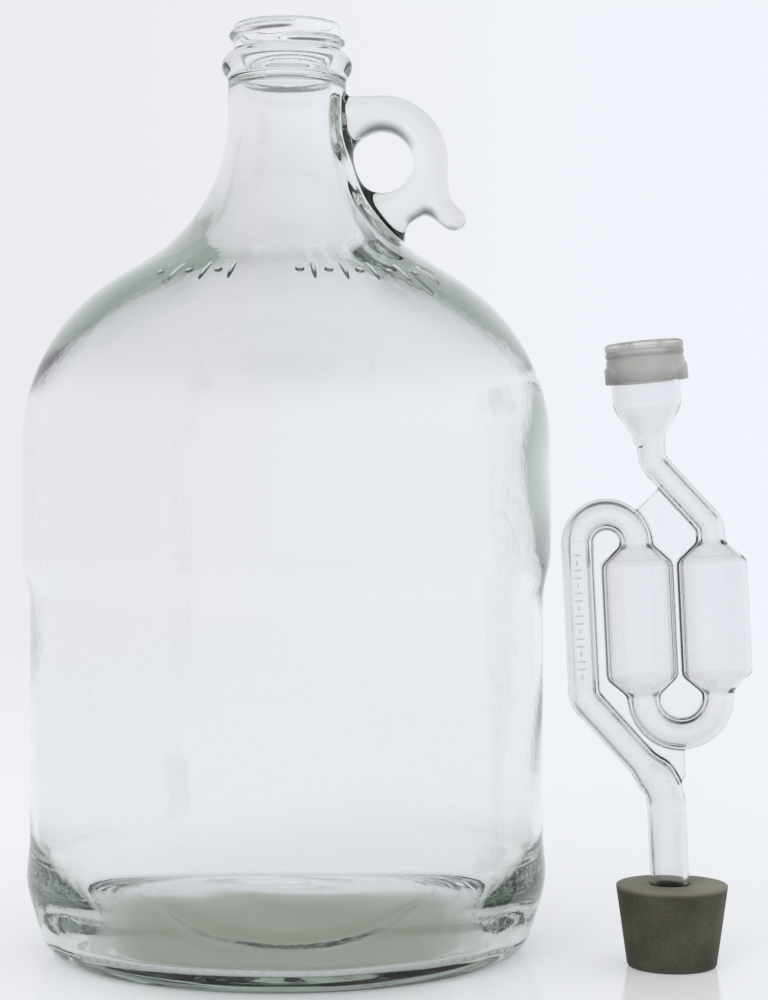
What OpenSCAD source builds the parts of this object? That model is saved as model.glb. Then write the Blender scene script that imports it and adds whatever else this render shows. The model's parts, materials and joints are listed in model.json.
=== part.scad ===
// Fermentation jar with airlock: a one-gallon glass jug with a finger loop, and
// beside it a twin-bubble airlock standing in its one-hole rubber stopper.
// Millimetres, +Z up, standing on the plane z = 0, the viewer on the -Y side.

/* [Jug body] */
// Whole height of the jug, from the resting ring to the lip
jug_height = 292; // [280:1:305]
// Diameter of the upper body and shoulder band
body_d = 167; // [160:0.5:172]
// Diameter of the recessed label panel
label_d = 162; // [156:0.5:166]
// Height where the label panel begins, above the heel bead
label_low = 34; // [28:1:40]
// Height where the label panel ends, below the shoulder band
label_high = 114.5; // [95:1:125]
// Height where the straight body ends and the shoulder begins
shoulder_z = 158; // [150:1:165]
// Radius of the round shoulder, in profile
shoulder_r = 63; // [58:1:68]
// Radius of the hollow sweep from the shoulder into the neck, in profile
sweep_r = 55; // [50:1:60]
// Thickness of the body wall
body_wall = 3; // [2:0.1:4]
// Thickness of the neck wall
neck_wall = 4.3; // [3.5:0.1:5]

/* [Jug base] */
// Diameter of the ring that the jug rests on, across its middle
rest_ring_d = 136; // [128:1:140]
// Width of the flat of the resting ring
rest_ring_w = 4; // [2:0.5:6]
// Height of the push-up under the middle of the base
push_up = 8; // [4:0.5:14]
// Thickness of the glass in the base
base_wall = 6; // [4:0.5:8]
// Radius of the lower corner of the heel
heel_corner_r = 8; // [6:0.5:10]
// How far the heel bead stands out from the label panel
heel_bead = 0.9; // [0.3:0.1:1.5]

/* [Jug mouth] */
// Outer diameter of the neck at its narrowest
neck_d = 37.4; // [36:0.1:39]
// Outer diameter of the mouth between the threads
mouth_d = 34; // [33.6:0.1:34.8]
// Inner diameter of the mouth
mouth_bore_d = 29.8; // [28:0.1:30]
// Length of the straight bore down from the lip
mouth_bore_len = 16; // [14:0.5:20]
// Narrowest width inside the neck, just below the bore
choke_d = 27.8; // [26:0.1:28.2]
// Outer diameter over the thread
thread_d = 36.4; // [36:0.1:37]
// Rise of the thread in one turn
thread_pitch = 4.2; // [3.8:0.1:4.4]
// How far the thread runs round the mouth
thread_turns = 1.07; // [0.8:0.01:1.1]
// Diameter of the transfer bead below the thread
bead_d = 41.2; // [40:0.1:42]
// Height of the transfer bead
bead_h = 9; // [7:0.5:10]

/* [Finger loop] */
// Distance from the jug's axis to the middle of the finger hole
loop_out = 30.1; // [29.5:0.1:31]
// Distance from the lip down to the middle of the finger hole
loop_down = 43.5; // [42:0.5:45]
// Diameter of the finger hole
finger_hole_d = 19.7; // [18:0.1:21]
// Outer diameter of the loop
loop_d = 42.4; // [41:0.1:44]
// Thickness of the loop from front to back
loop_thick = 13; // [11:0.5:15]

/* [Stopper] */
// Diameter of the stopper's top
stopper_top_d = 34; // [32:0.5:36]
// Diameter of the stopper's bottom
stopper_low_d = 27; // [25:0.5:29]
// Length of the stopper
stopper_len = 25; // [22:1:30]
// Distance of the stopper from the jug's axis, to the right
stopper_right = 118.3; // [117:0.5:130]
// Distance of the stopper from the jug's axis, to the front
stopper_front = 31.4; // [25:0.5:40]

/* [Airlock] */
// Lean of the airlock in its soft stopper, to the left
airlock_lean = 2.8; // [0:0.1:3]
// Outer diameter of the stem
stem_d = 11.8; // [10:0.1:12]
// Outer diameter of the lower tube and the two bends
tube_d = 9.2; // [8.6:0.1:9.4]
// Outer diameter of the tube under the cup
upper_tube_d = 8.4; // [8:0.1:8.8]
// Thickness of the moulded wall
airlock_wall = 1.5; // [1.2:0.1:1.8]
// Outer diameter of the two bubble chambers
chamber_d = 21; // [20:0.1:22]
// Distance from the stem's axis to the left chamber
left_chamber_u = 5.3; // [5.2:0.1:5.5]
// Distance from the stem's axis to the right chamber
right_chamber_u = 17.6; // [17.5:0.1:18]
// Distance from the stem's axis to the outer tube
outer_tube_u = 23.5; // [23.2:0.1:24]
// Outer diameter of the cup
cup_d = 20.8; // [20:0.1:21.4]
// Thickness of the web between the tubes
web_thick = 1.2; // [0.8:0.1:1.6]

/* [Cap] */
// Outer diameter of the cap above its band
cap_d = 23.8; // [23.6:0.1:24.6]
// Outer diameter of the band round the cap's foot
cap_band_d = 25.2; // [24.8:0.1:26]
// Height of the cap
cap_h = 12.2; // [11:0.1:13]
// How far the cap sits askew on the cup
cap_skew = 2.2; // [0:0.1:2.4]
// Diameter of each vent hole in the cap
vent_d = 1.4; // [1:0.1:2]

/* [Hidden] */
$fn = 96;
eps = 0.01;

// The jug and the stopper stand so that the whole row is centred on x = 0.
airlock_reach = 24.4;
row_right = stopper_right + airlock_reach;
jug_x = (body_d / 2 - row_right) / 2;
stopper_x = jug_x + stopper_right;

body_r = body_d / 2;
label_r = label_d / 2;
neck_r = neck_d / 2;
mouth_r = mouth_bore_d / 2;
loop_z = jug_height - loop_down;
finger_r = finger_hole_d / 2;

// Points of an arc in the profile plane, from one angle to another.
function arc(x, z, r, from, to, steps) =
    [for (i = [0 : steps]) let (a = from + (to - from) * i / steps) [x + r * cos(a), z + r * sin(a)]];

// Height of the neck sweep's centre above the shoulder's, for two arcs that touch.
function sweep_rise(r_body, r_neck, r_shoulder, r_sweep) =
    sqrt(pow(r_shoulder + r_sweep, 2) - pow(r_neck + r_sweep - r_body + r_shoulder, 2));

// Shoulder and neck sweep as one run of points, going up.
function shoulder_and_sweep(r_body, r_neck, r_shoulder, r_sweep, z, steps) =
    let (
        rise = sweep_rise(r_body, r_neck, r_shoulder, r_sweep),
        run = r_neck + r_sweep - r_body + r_shoulder,
        turn = atan2(rise, run)
    )
    concat(
        arc(r_body - r_shoulder, z, r_shoulder, 0, turn, steps),
        arc(r_neck + r_sweep, z + rise, r_sweep, 180 + turn, 180, steps)
    );

// Heel: a long easy taper that ends in a small corner, from the ring upwards.
heel_taper_r = 53;
heel_taper_angle = 23.6;
heel_top = heel_corner_r + (heel_taper_r - heel_corner_r) * sin(heel_taper_angle);
heel_corner_x = label_r - heel_taper_r + (heel_taper_r - heel_corner_r) * cos(heel_taper_angle);
heel_bead_low = label_low - 19;
heel_bead_turn = asin((heel_top - heel_bead_low) / heel_taper_r);
heel = concat(
    arc(heel_corner_x, heel_corner_r, heel_corner_r, -90, -heel_taper_angle, 8),
    arc(label_r - heel_taper_r, heel_top, heel_taper_r, -heel_taper_angle, -heel_bead_turn, 4)
);

// Steps at the label panel's two ends: the heel bead is a low easy swell.
heel_bead_flat_low = label_low - 10.5;
heel_bead_flat_high = label_low - 8.5;
label_step = 6;

// Transfer bead and mouth, going up from the neck.
bead_drop = 12.3;
bead_z = jug_height - bead_drop;
bead_out = bead_d / 2 - neck_r;
lip_r = 1.2;
mouth_outer = concat(
    [for (i = [0 : 10]) let (a = -90 + 18 * i)
        [neck_r + bead_out * cos(a) + (i > 5 ? (mouth_d / 2 - neck_r) * (i - 5) / 5 : 0),
         bead_z + bead_h / 2 * sin(a)]],
    arc(mouth_d / 2 - lip_r, jug_height - lip_r, lip_r, 0, 90, 4)
);

outer_profile = concat(
    heel,
    [[label_r + heel_bead, heel_bead_flat_low],
     [label_r + heel_bead, heel_bead_flat_high],
     [label_r, label_low],
     [label_r, label_high],
     [body_r, label_high + label_step]],
    shoulder_and_sweep(body_r, neck_r, shoulder_r, sweep_r, shoulder_z, 16),
    mouth_outer
);

// Inside of the jug, going down from the lip.
inner_r = label_r - body_wall;
inner_neck_r = neck_r - neck_wall;
inner_corner_r = 18;
push_up_r = (pow(rest_ring_d / 2 - rest_ring_w / 2, 2) + pow(push_up, 2)) / (2 * push_up);
floor_edge = inner_r - inner_corner_r;
floor_drop = push_up_r - sqrt(pow(push_up_r, 2) - pow(floor_edge, 2));
floor_z = push_up + base_wall;
inner_shoulder = shoulder_and_sweep(
    body_r - body_wall, inner_neck_r, shoulder_r - body_wall, sweep_r + neck_wall, shoulder_z, 16);
bore_end_z = jug_height - mouth_bore_len;
choke_z = bore_end_z - 1.6;
choke_half_len = 0.75;
choke_flare = 8;

inner_profile = concat(
    [[0, floor_z]],
    [for (i = [1 : 8]) let (r = floor_edge * i / 8)
        [r, floor_z - push_up_r + sqrt(pow(push_up_r, 2) - pow(r, 2))]],
    arc(floor_edge, floor_z - floor_drop + inner_corner_r, inner_corner_r, -75, 0, 8),
    [[inner_r, label_high],
     [body_r - body_wall, label_high + label_step]],
    inner_shoulder,
    [[inner_neck_r, choke_z - choke_flare],
     [choke_d / 2, choke_z - choke_half_len],
     [choke_d / 2, choke_z + choke_half_len],
     [mouth_r, bore_end_z],
     [mouth_r, jug_height + eps],
     [0, jug_height + eps]]
);

// Under the base: the push-up inside the resting ring.
under_profile = concat(
    [[0, -eps]],
    [[rest_ring_d / 2 - rest_ring_w / 2, -eps]],
    [for (i = [8 : -1 : 1]) let (r = (rest_ring_d - rest_ring_w) / 2 * i / 8)
        [r, push_up - push_up_r + sqrt(pow(push_up_r, 2) - pow(r, 2))]],
    [[0, push_up]]
);

// Airlock, in its own frame: u to the right of the stem, w along the stem.
stem_tip_w = 2;
stem_top_w = 54.1;
outer_corner_w = 82.5;
chamber_low_w = 87.2;
chamber_high_w = 123.5;
cone_low = 5.5;
cone_high = 5.8;
low_bend_w = chamber_low_w - cone_low;
high_bend_w = chamber_high_w + cone_high;
neck_corner_w = 153.6;
chamber_corner_w = 133.6;
neck_u = 0.75;
cup_floor_w = 161;
cup_floor_h = 1.2;
cup_corner_w = 169.5;
cup_rim_w = 187.2;
elbow_r = 6;
stem_elbow_r = 8;
low_bend_u = (right_chamber_u - left_chamber_u) / 2;
low_bend_r = (right_chamber_u + left_chamber_u) / 2;
high_bend_u = -(outer_tube_u + left_chamber_u) / 2;
high_bend_r = (outer_tube_u - left_chamber_u) / 2;
lower_slant = atan2(outer_tube_u, outer_corner_w - stem_top_w);
upper_slant = atan2(right_chamber_u - neck_u, neck_corner_w - chamber_corner_w);
stem_taper_len = 6;
lean_pivot = stopper_len / 2;

// Straight tubes run this far into the bends at their ends, and are this much thicker
// than the bends on both faces, so that the two close into one solid.
lap = 0.3;
proud = 0.06;

cap_low_w = 177.7;
cap_slack = 0.8;
cap_roof_gap = 0.5;
cap_band_h = 5.1;
cap_groove_z = [7.6, 8.7];
cap_groove_deep = 0.35;
cap_roof = cap_low_w + cap_h - cup_rim_w - cap_roof_gap;

// Screw thread: one helical rib whose ends fade into the mouth.
module screw_thread() {
    steps = 64;
    rise = thread_pitch * thread_turns;
    start_z = jug_height - 2.4;
    start_turn = -73;
    root_r = mouth_d / 2 - 0.4;
    height = thread_d / 2 - root_r;
    foot = 1.1;
    crest = 0.45;
    points = [
        for (i = [0 : steps])
            let (
                t = i / steps,
                a = start_turn - 360 * thread_turns * t,
                z = start_z - rise * t,
                h = height * (0.2 + 0.8 * min(1, 8 * t, 8 * (1 - t)))
            )
            for (p = [[root_r, -foot], [root_r + h, -crest], [root_r + h, crest], [root_r, foot]])
                [p[0] * cos(a), p[0] * sin(a), z + p[1]]
    ];
    faces = concat(
        [[0, 1, 2, 3]],
        [for (i = [0 : steps - 1]) for (j = [0 : 3])
            [4 * i + j, 4 * (i + 1) + j, 4 * (i + 1) + (j + 1) % 4, 4 * i + (j + 1) % 4]],
        [[4 * steps + 3, 4 * steps + 2, 4 * steps + 1, 4 * steps]]
    );
    polyhedron(points, faces, convexity = 4);
}

// Section of the loop's ring: a square with round corners.
module loop_section() {
    corner = 4.5;
    inner = finger_r;
    outer = loop_d / 2;
    half = loop_thick / 2;
    translate([inner + corner, -half])
        square([outer - inner - 2 * corner, loop_thick]);
    translate([inner, -half + corner])
        square([outer - inner, loop_thick - 2 * corner]);
    for (x = [inner + corner, outer - corner])
        for (y = [-half + corner, half - corner])
            translate([x, y])
                circle(corner);
}

// Root and tail of the loop in side view, from the middle of the finger hole.
module loop_root_outline() {
    tail = [21.5, -16.2];
    tail_r = 5.1;
    recess = [13.9, -25.1];
    recess_r = 7.3;
    difference() {
        union() {
            polygon([[-12, 13], [-12, 20.8], [0, 21.1], [0, 14]]);
            polygon([[-10, -10], [7, -9], [finger_r + 2, -3], [21.1, -2], [22.2, -7], [23.6, -11.5],
                     [tail[0] + 4.9, -15], [tail[0], tail[1] - 4], [14, -17], [7, -24.6], [-6, -24.6]]);
            translate(tail)
                circle(tail_r);
        }
        circle(finger_r);
        translate(recess)
            circle(recess_r);
    }
}

module finger_loop() {
    rotate([90, 0, 0])
        rotate_extrude()
            loop_section();
    rotate([90, 0, 0])
        translate([0, 0, -loop_thick / 2 + 1.2])
            linear_extrude(loop_thick - 2.4)
                loop_root_outline();
}

module glass_jug() {
    color([0.86, 0.9, 0.89, 0.45])
        translate([jug_x, 0, 0])
            difference() {
                union() {
                    rotate_extrude()
                        polygon(concat([[0, 0]], outer_profile, [[0, jug_height]]));
                    translate([loop_out, 0, loop_z])
                        finger_loop();
                    screw_thread();
                }
                rotate_extrude()
                    polygon(inner_profile);
                rotate_extrude()
                    polygon(under_profile);
            }
}

// Everything that leans with the airlock, placed from the airlock's own frame.
module at_airlock() {
    translate([stopper_x, -stopper_front, lean_pivot])
        rotate([0, -airlock_lean, 0])
            translate([0, 0, -lean_pivot])
                children();
}

module rubber_stopper() {
    edge = 0.8;
    running_gap = 0.05;
    low_r = stopper_low_d / 2;
    top_r = stopper_top_d / 2;
    color([0.25, 0.24, 0.2])
        difference() {
            translate([stopper_x, -stopper_front, 0])
                rotate_extrude()
                    polygon([[0, 0], [low_r - edge, 0], [low_r, edge],
                             [top_r, stopper_len - edge], [top_r - edge, stopper_len], [0, stopper_len]]);
            at_airlock()
                translate([0, 0, -stopper_len / 2])
                    cylinder(d = stem_d + 2 * (proud + running_gap), h = 2 * stopper_len);
        }
}

// Half of a ring, the half with y above zero, with its wall thickened on both faces.
module half_ring(d, thicker = 0) {
    difference() {
        intersection() {
            circle(d = d + 2 * thicker);
            translate([-d, 0])
                square([2 * d, d]);
        }
        circle(d = d - 2 * airlock_wall - 2 * thicker);
    }
}

// Rear half of a straight tube that climbs from a point at an angle to the upright.
module tube_half(u, w, lean, length, d) {
    translate([u, 0, w])
        rotate([0, lean, 0])
            translate([0, 0, -lap])
                linear_extrude(length + 2 * lap)
                    half_ring(d, proud);
}

// Rear half of a straight tube that narrows over its first stretch, lapped in the same way.
module tapered_tube_half(u, w, lean, length, foot_d, d) {
    foot = foot_d / 2 + proud;
    r = d / 2 + proud;
    wall = airlock_wall + 2 * proud;
    translate([u, 0, w])
        rotate([0, lean, 0])
            rotate_extrude(angle = 180)
                polygon([[foot - wall, -lap], [foot, -lap], [foot, 0], [r, stem_taper_len],
                         [r, length + lap], [r - wall, length + lap],
                         [r - wall, stem_taper_len], [foot - wall, 0]]);
}

// Rear half of a bend about a centre, between two angles in the parting plane.
module bend_half(u, w, r, from, to, d) {
    translate([u, 0, w])
        rotate([90, 0, 0])
            rotate([0, 0, from])
                rotate_extrude(angle = to - from)
                    translate([r, 0])
                        mirror([0, 1])
                            half_ring(d);
}

// Rear half of a bubble chamber: a cylinder with a cone at each end.
module chamber_half(u, high_d) {
    r = chamber_d / 2;
    low = tube_d / 2;
    high = high_d / 2;
    t = airlock_wall;
    translate([u, 0, 0])
        rotate_extrude(angle = 180)
            polygon([[low, low_bend_w], [r, chamber_low_w], [r, chamber_high_w], [high, high_bend_w],
                     [high - t, high_bend_w], [r - t, chamber_high_w - 0.6],
                     [r - t, chamber_low_w + 0.6], [low - t, low_bend_w]]);
}

// Rear half of the cup, its cone and the stepped floor that the neck leaves by.
module cup_half() {
    r = cup_d / 2;
    t = airlock_wall;
    floor_r = 5.1;
    rotate_extrude(angle = 180)
        polygon([[floor_r, cup_floor_w], [r - 1, cup_corner_w - 1], [r, cup_corner_w + 1.2],
                 [r, cup_rim_w], [r - t, cup_rim_w], [r - t, cup_corner_w + 1.6],
                 [r - t - 0.8, cup_corner_w], [floor_r - t, cup_floor_w]]);
    translate([0, 0, cup_floor_w - cup_floor_h])
        linear_extrude(cup_floor_h)
            difference() {
                intersection() {
                    circle(floor_r);
                    translate([-floor_r, 0])
                        square([2 * floor_r, floor_r]);
                }
                translate([neck_u, 0])
                    circle(d = upper_tube_d - 2 * airlock_wall);
            }
}

// Strip in the parting plane that follows a tube between two corners.
module strip(from, to, d) {
    run = to - from;
    translate(from)
        rotate(atan2(run[1], run[0]))
            translate([0, -d / 2])
                square([norm(run), d]);
    translate(to)
        circle(d = d);
}

// Inside of all the tubes in the parting plane, out to the middle of their walls.
module cores() {
    wall = airlock_wall;
    high = high_bend_r;
    low = low_bend_r;
    strip([0, stem_tip_w], [0, stem_top_w], stem_d - wall);
    strip([0, stem_top_w], [-outer_tube_u, outer_corner_w], tube_d - wall);
    strip([-outer_tube_u, outer_corner_w], [-outer_tube_u, high_bend_w], tube_d - wall);
    strip([right_chamber_u, high_bend_w - 1], [right_chamber_u, chamber_corner_w], upper_tube_d - wall);
    strip([right_chamber_u, chamber_corner_w], [neck_u, neck_corner_w], upper_tube_d - wall);
    intersection() {
        translate([high_bend_u, high_bend_w])
            ring(high, tube_d - wall);
        translate([-50, high_bend_w - eps])
            square(100);
    }
    intersection() {
        translate([low_bend_u, low_bend_w])
            ring(low, tube_d - wall);
        translate([-50, low_bend_w + eps - 100])
            square(100);
    }
    for (u = [-left_chamber_u, right_chamber_u])
        translate([u, 0])
            chamber_core();
}

module ring(r, width) {
    difference() {
        circle(r + width / 2);
        circle(r - width / 2);
    }
}

module chamber_core() {
    r = (chamber_d - airlock_wall) / 2;
    throat = (tube_d - airlock_wall) / 2;
    polygon([[-throat, low_bend_w], [throat, low_bend_w], [r, chamber_low_w], [r, chamber_high_w],
             [throat, high_bend_w], [-throat, high_bend_w], [-r, chamber_high_w], [-r, chamber_low_w]]);
}

// Rear half of the flat web that fills the gaps between the tubes.
module web_half() {
    outline = concat(
        [[0, stem_top_w], [4.9, 55.5], [6.3, 57.6], [6.3, low_bend_w - low_bend_r],
         [low_bend_u + low_bend_r * cos(45), low_bend_w - low_bend_r * sin(45)],
         [right_chamber_u, low_bend_w], [right_chamber_u, chamber_corner_w], [5.4, 148], [2.9, 145.7],
         [-4.7, 139], [high_bend_u + high_bend_r * cos(45), high_bend_w + high_bend_r * sin(45)]],
        [for (a = [75 : 35 : 180]) [high_bend_u + high_bend_r * cos(a), high_bend_w + high_bend_r * sin(a)]],
        [[-outer_tube_u, high_bend_w], [-outer_tube_u, outer_corner_w]]
    );
    rotate([90, 0, 0])
        translate([0, 0, -web_thick / 2])
            linear_extrude(web_thick / 2)
                difference() {
                    polygon(outline);
                    cores();
                }
}

// Rear half of the whole airlock, from the stem's tip up to the cup's rim.
module airlock_half() {
    stem_cut = stem_elbow_r * tan(lower_slant / 2);
    low_cut = elbow_r * tan(lower_slant / 2);
    high_cut = elbow_r * tan(upper_slant / 2);
    slant = [-sin(lower_slant), cos(lower_slant)];
    fall = [sin(upper_slant), -cos(upper_slant)];
    lower_len = norm([outer_tube_u, outer_corner_w - stem_top_w]);
    upper_len = norm([right_chamber_u - neck_u, neck_corner_w - chamber_corner_w]);
    neck_top_w = cup_floor_w - cup_floor_h;
    taper_start = [0, stem_top_w] + slant * stem_cut;
    fall_end = [neck_u, neck_corner_w] + fall * (upper_len - high_cut);

    tube_half(0, stem_tip_w, 0, stem_top_w - stem_cut - stem_tip_w, stem_d);
    bend_half(-stem_elbow_r, stem_top_w - stem_cut, stem_elbow_r, 0, lower_slant, stem_d);
    tapered_tube_half(taper_start[0], taper_start[1], -lower_slant,
        lower_len - stem_cut - low_cut, stem_d, tube_d);
    bend_half(-outer_tube_u + elbow_r, outer_corner_w + low_cut, elbow_r, 180, 180 + lower_slant, tube_d);
    tube_half(-outer_tube_u, outer_corner_w + low_cut, 0, high_bend_w - outer_corner_w - low_cut, tube_d);
    bend_half(high_bend_u, high_bend_w, high_bend_r, 0, 180, tube_d);
    chamber_half(-left_chamber_u, tube_d);
    bend_half(low_bend_u, low_bend_w, low_bend_r, 180, 360, tube_d);
    chamber_half(right_chamber_u, upper_tube_d);
    tube_half(right_chamber_u, high_bend_w, 0, chamber_corner_w - high_cut - high_bend_w, upper_tube_d);
    bend_half(right_chamber_u - elbow_r, chamber_corner_w - high_cut, elbow_r, 0, upper_slant, upper_tube_d);
    tube_half(fall_end[0], fall_end[1], -upper_slant, upper_len - 2 * high_cut, upper_tube_d);
    bend_half(neck_u + elbow_r, neck_corner_w + high_cut, elbow_r, 180, 180 + upper_slant, upper_tube_d);
    tube_half(neck_u, neck_corner_w + high_cut, 0, neck_top_w - neck_corner_w - high_cut, upper_tube_d);
    cup_half();
    web_half();
}

module airlock_front() {
    color([0.84, 0.88, 0.92, 0.5])
        at_airlock()
            mirror([0, 1, 0])
                airlock_half();
}

module airlock_rear() {
    color([0.8, 0.86, 0.92, 0.5])
        at_airlock()
            airlock_half();
}

module airlock_cap() {
    r = cap_d / 2;
    band_r = cap_band_d / 2;
    inner = cup_d / 2 + cap_slack;
    groove_r = r - cap_groove_deep;
    color([0.74, 0.73, 0.7, 0.9])
        at_airlock()
            translate([0, 0, cup_rim_w])
                rotate([0, -cap_skew, 0])
                    translate([0, 0, cap_low_w - cup_rim_w])
                        difference() {
                            rotate_extrude()
                                polygon([[inner, 0], [band_r, 0], [band_r, cap_band_h], [r, cap_band_h + 0.4],
                                         [r, cap_groove_z[0]], [groove_r, cap_groove_z[0] + 0.3],
                                         [groove_r, cap_groove_z[1] - 0.3], [r, cap_groove_z[1]],
                                         [r, cap_h - 0.8], [r - 0.8, cap_h], [0, cap_h],
                                         [0, cap_h - cap_roof], [inner, cap_h - cap_roof]]);
                            for (a = [45 : 90 : 315])
                                rotate(a)
                                    translate([5, 0, 0])
                                        cylinder(d = vent_d, h = 2 * cap_h, $fn = 24);
                        }
}

glass_jug();
rubber_stopper();
airlock_front();
airlock_rear();
airlock_cap();
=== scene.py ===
"""Studio picture of a one-gallon glass fermentation jug with its twin-bubble airlock.

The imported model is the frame. Each class below makes one sub-assembly that stands where its
nodes stand, in millimetres, and MM turns its points into metres as they go into a mesh.
"""

import json
import logging
import math
from collections.abc import Callable
from dataclasses import dataclass, field
from enum import Enum

import bmesh
import bpy
import numpy as np
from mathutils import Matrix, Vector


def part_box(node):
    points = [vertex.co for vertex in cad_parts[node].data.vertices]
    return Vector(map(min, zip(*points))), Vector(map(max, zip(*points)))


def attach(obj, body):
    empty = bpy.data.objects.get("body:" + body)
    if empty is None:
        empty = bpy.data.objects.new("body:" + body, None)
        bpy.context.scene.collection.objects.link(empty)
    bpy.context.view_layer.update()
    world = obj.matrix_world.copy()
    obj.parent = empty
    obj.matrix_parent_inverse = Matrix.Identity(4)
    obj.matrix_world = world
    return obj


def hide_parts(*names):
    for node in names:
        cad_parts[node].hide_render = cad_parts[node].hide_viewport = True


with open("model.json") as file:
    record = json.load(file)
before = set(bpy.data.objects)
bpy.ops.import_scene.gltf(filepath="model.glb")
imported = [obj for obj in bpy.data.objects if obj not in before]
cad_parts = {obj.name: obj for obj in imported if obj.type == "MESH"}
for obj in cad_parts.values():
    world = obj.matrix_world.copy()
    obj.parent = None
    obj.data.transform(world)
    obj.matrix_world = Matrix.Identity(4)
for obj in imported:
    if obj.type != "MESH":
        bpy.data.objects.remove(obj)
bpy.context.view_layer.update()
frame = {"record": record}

LOG = logging.getLogger("fermentation_jar")
MM = 0.001
FULL_TURN = 2 * math.pi
FAR = 20.0

Field = Callable[[np.ndarray], np.ndarray]


class Slot(Enum):
    """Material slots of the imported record."""

    GLASS = "clear_glass"
    STYRENE = "clear_styrene"
    RUBBER = "stopper_rubber"
    CAP = "cap_plastic"


class Wire:
    """A shader value that adds Math nodes where it is used in an expression."""

    def __init__(self, graph: "Graph", socket: bpy.types.NodeSocket) -> None:
        """Wraps one output socket of a graph."""
        self.graph = graph
        self.socket = socket

    def math(self, operation: str, *terms: "Wire | float") -> "Wire":
        """Adds one Math node.

        Args:
            operation: The Math node's operation.
            terms: Its inputs in order, wires or numbers.

        Returns:
            The node's value.
        """
        return self.graph.add("ShaderNodeMath", {"operation": operation}, dict(enumerate(terms)))

    def __add__(self, other: "Wire | float") -> "Wire":
        """Sum of two values."""
        return self.math("ADD", self, other)

    def __radd__(self, other: float) -> "Wire":
        """Sum of a number and a value."""
        return self.math("ADD", other, self)

    def __sub__(self, other: "Wire | float") -> "Wire":
        """Difference of two values."""
        return self.math("SUBTRACT", self, other)

    def __rsub__(self, other: float) -> "Wire":
        """Difference of a number and a value."""
        return self.math("SUBTRACT", other, self)

    def __mul__(self, other: "Wire | float") -> "Wire":
        """Product of two values."""
        return self.math("MULTIPLY", self, other)

    def __rmul__(self, other: float) -> "Wire":
        """Product of a number and a value."""
        return self.math("MULTIPLY", other, self)

    def __abs__(self) -> "Wire":
        """Value without its sign."""
        return self.math("ABSOLUTE", self)

    def ease(self, low: float, high: float) -> "Wire":
        """Smooth step from 0 at low to 1 at high."""
        return self.graph.add(
            "ShaderNodeMapRange",
            {"interpolation_type": "SMOOTHSTEP"},
            {"Value": self, "From Min": low, "From Max": high},
        )


class Graph:
    """A node tree that is built from nothing."""

    def __init__(self, tree: bpy.types.NodeTree) -> None:
        """Clears the tree and keeps it."""
        self.tree = tree
        tree.nodes.clear()

    def add(
        self,
        kind: str,
        settings: dict | None = None,
        inputs: dict | None = None,
        out: int | str = 0,
    ) -> Wire | None:
        """Adds a node.

        Args:
            kind: The node's type.
            settings: Its properties, set first.
            inputs: Values or wires for its sockets, by name or number.
            out: The output that is wanted.

        Returns:
            That output as a wire, or None from a node that ends the tree.
        """
        node = self.tree.nodes.new(kind)
        for name, value in (settings or {}).items():
            setattr(node, name, value)
        for key, value in (inputs or {}).items():
            if isinstance(value, Wire):
                self.tree.links.new(value.socket, node.inputs[key])
            else:
                node.inputs[key].default_value = value
        return Wire(self, node.outputs[out]) if node.outputs else None

    def noise(self, place: Wire, scale: float, detail: float) -> Wire:
        """Noise between 0 and 1 at a place.

        Args:
            place: The coordinates.
            scale: Waves per metre, roughly.
            detail: Octaves of the noise.

        Returns:
            The noise's value.
        """
        return self.add("ShaderNodeTexNoise", None, {"Vector": place, "Scale": scale, "Detail": detail})

    def mix(self, share: "Wire | float", first: "Wire | tuple", second: "Wire | tuple") -> Wire:
        """Colour between two colours.

        Args:
            share: 0 for the first colour, 1 for the second.
            first: A colour.
            second: Another colour.

        Returns:
            The mixed colour.
        """
        return self.add(
            "ShaderNodeMix", {"data_type": "RGBA"}, {0: share, 6: first, 7: second}, out=2
        )

    def bump(self, height: Wire, depth: float) -> Wire:
        """Normal of a relief.

        Args:
            height: Height from 0 to 1.
            depth: What 1 stands for, in metres.

        Returns:
            The bent normal.
        """
        return self.add("ShaderNodeBump", None, {"Height": height, "Distance": depth})

    def vector(self, operation: str, first: "Wire | tuple", second: "Wire | tuple | None" = None) -> Wire:
        """Adds one Vector Math node.

        Args:
            operation: The node's operation.
            first: A vector.
            second: Another vector, where the operation takes two.

        Returns:
            The node's vector, or the number that LENGTH gives.
        """
        inputs = {0: first} if second is None else {0: first, 1: second}
        out = "Value" if operation == "LENGTH" else "Vector"
        return self.add("ShaderNodeVectorMath", {"operation": operation}, inputs, out)

    def every(self, kind: str, *names: str, given: dict | None = None) -> list[Wire]:
        """Adds a node of which several outputs are wanted.

        Args:
            kind: The node's type.
            names: The outputs' names.
            given: Values or wires for its sockets.

        Returns:
            Those outputs as wires, in order.
        """
        node = self.add(kind, None, given).socket.node
        return [Wire(self, node.outputs[name]) for name in names]

    def principled(self, **values: "Wire | float | tuple") -> Wire:
        """Adds a Principled shader, with its sockets named as words joined by underscores."""
        inputs = {name.replace("_", " "): value for name, value in values.items()}
        return self.add("ShaderNodeBsdfPrincipled", None, inputs)


def new_material(name: str) -> tuple[bpy.types.Material, Graph, Wire]:
    """Starts a material.

    Args:
        name: The material's name.

    Returns:
        The material, its graph and its Object coordinates.
    """
    material = bpy.data.materials.new(name)
    material.use_nodes = True
    graph = Graph(material.node_tree)
    return material, graph, graph.add("ShaderNodeTexCoord", out="Object")


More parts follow.
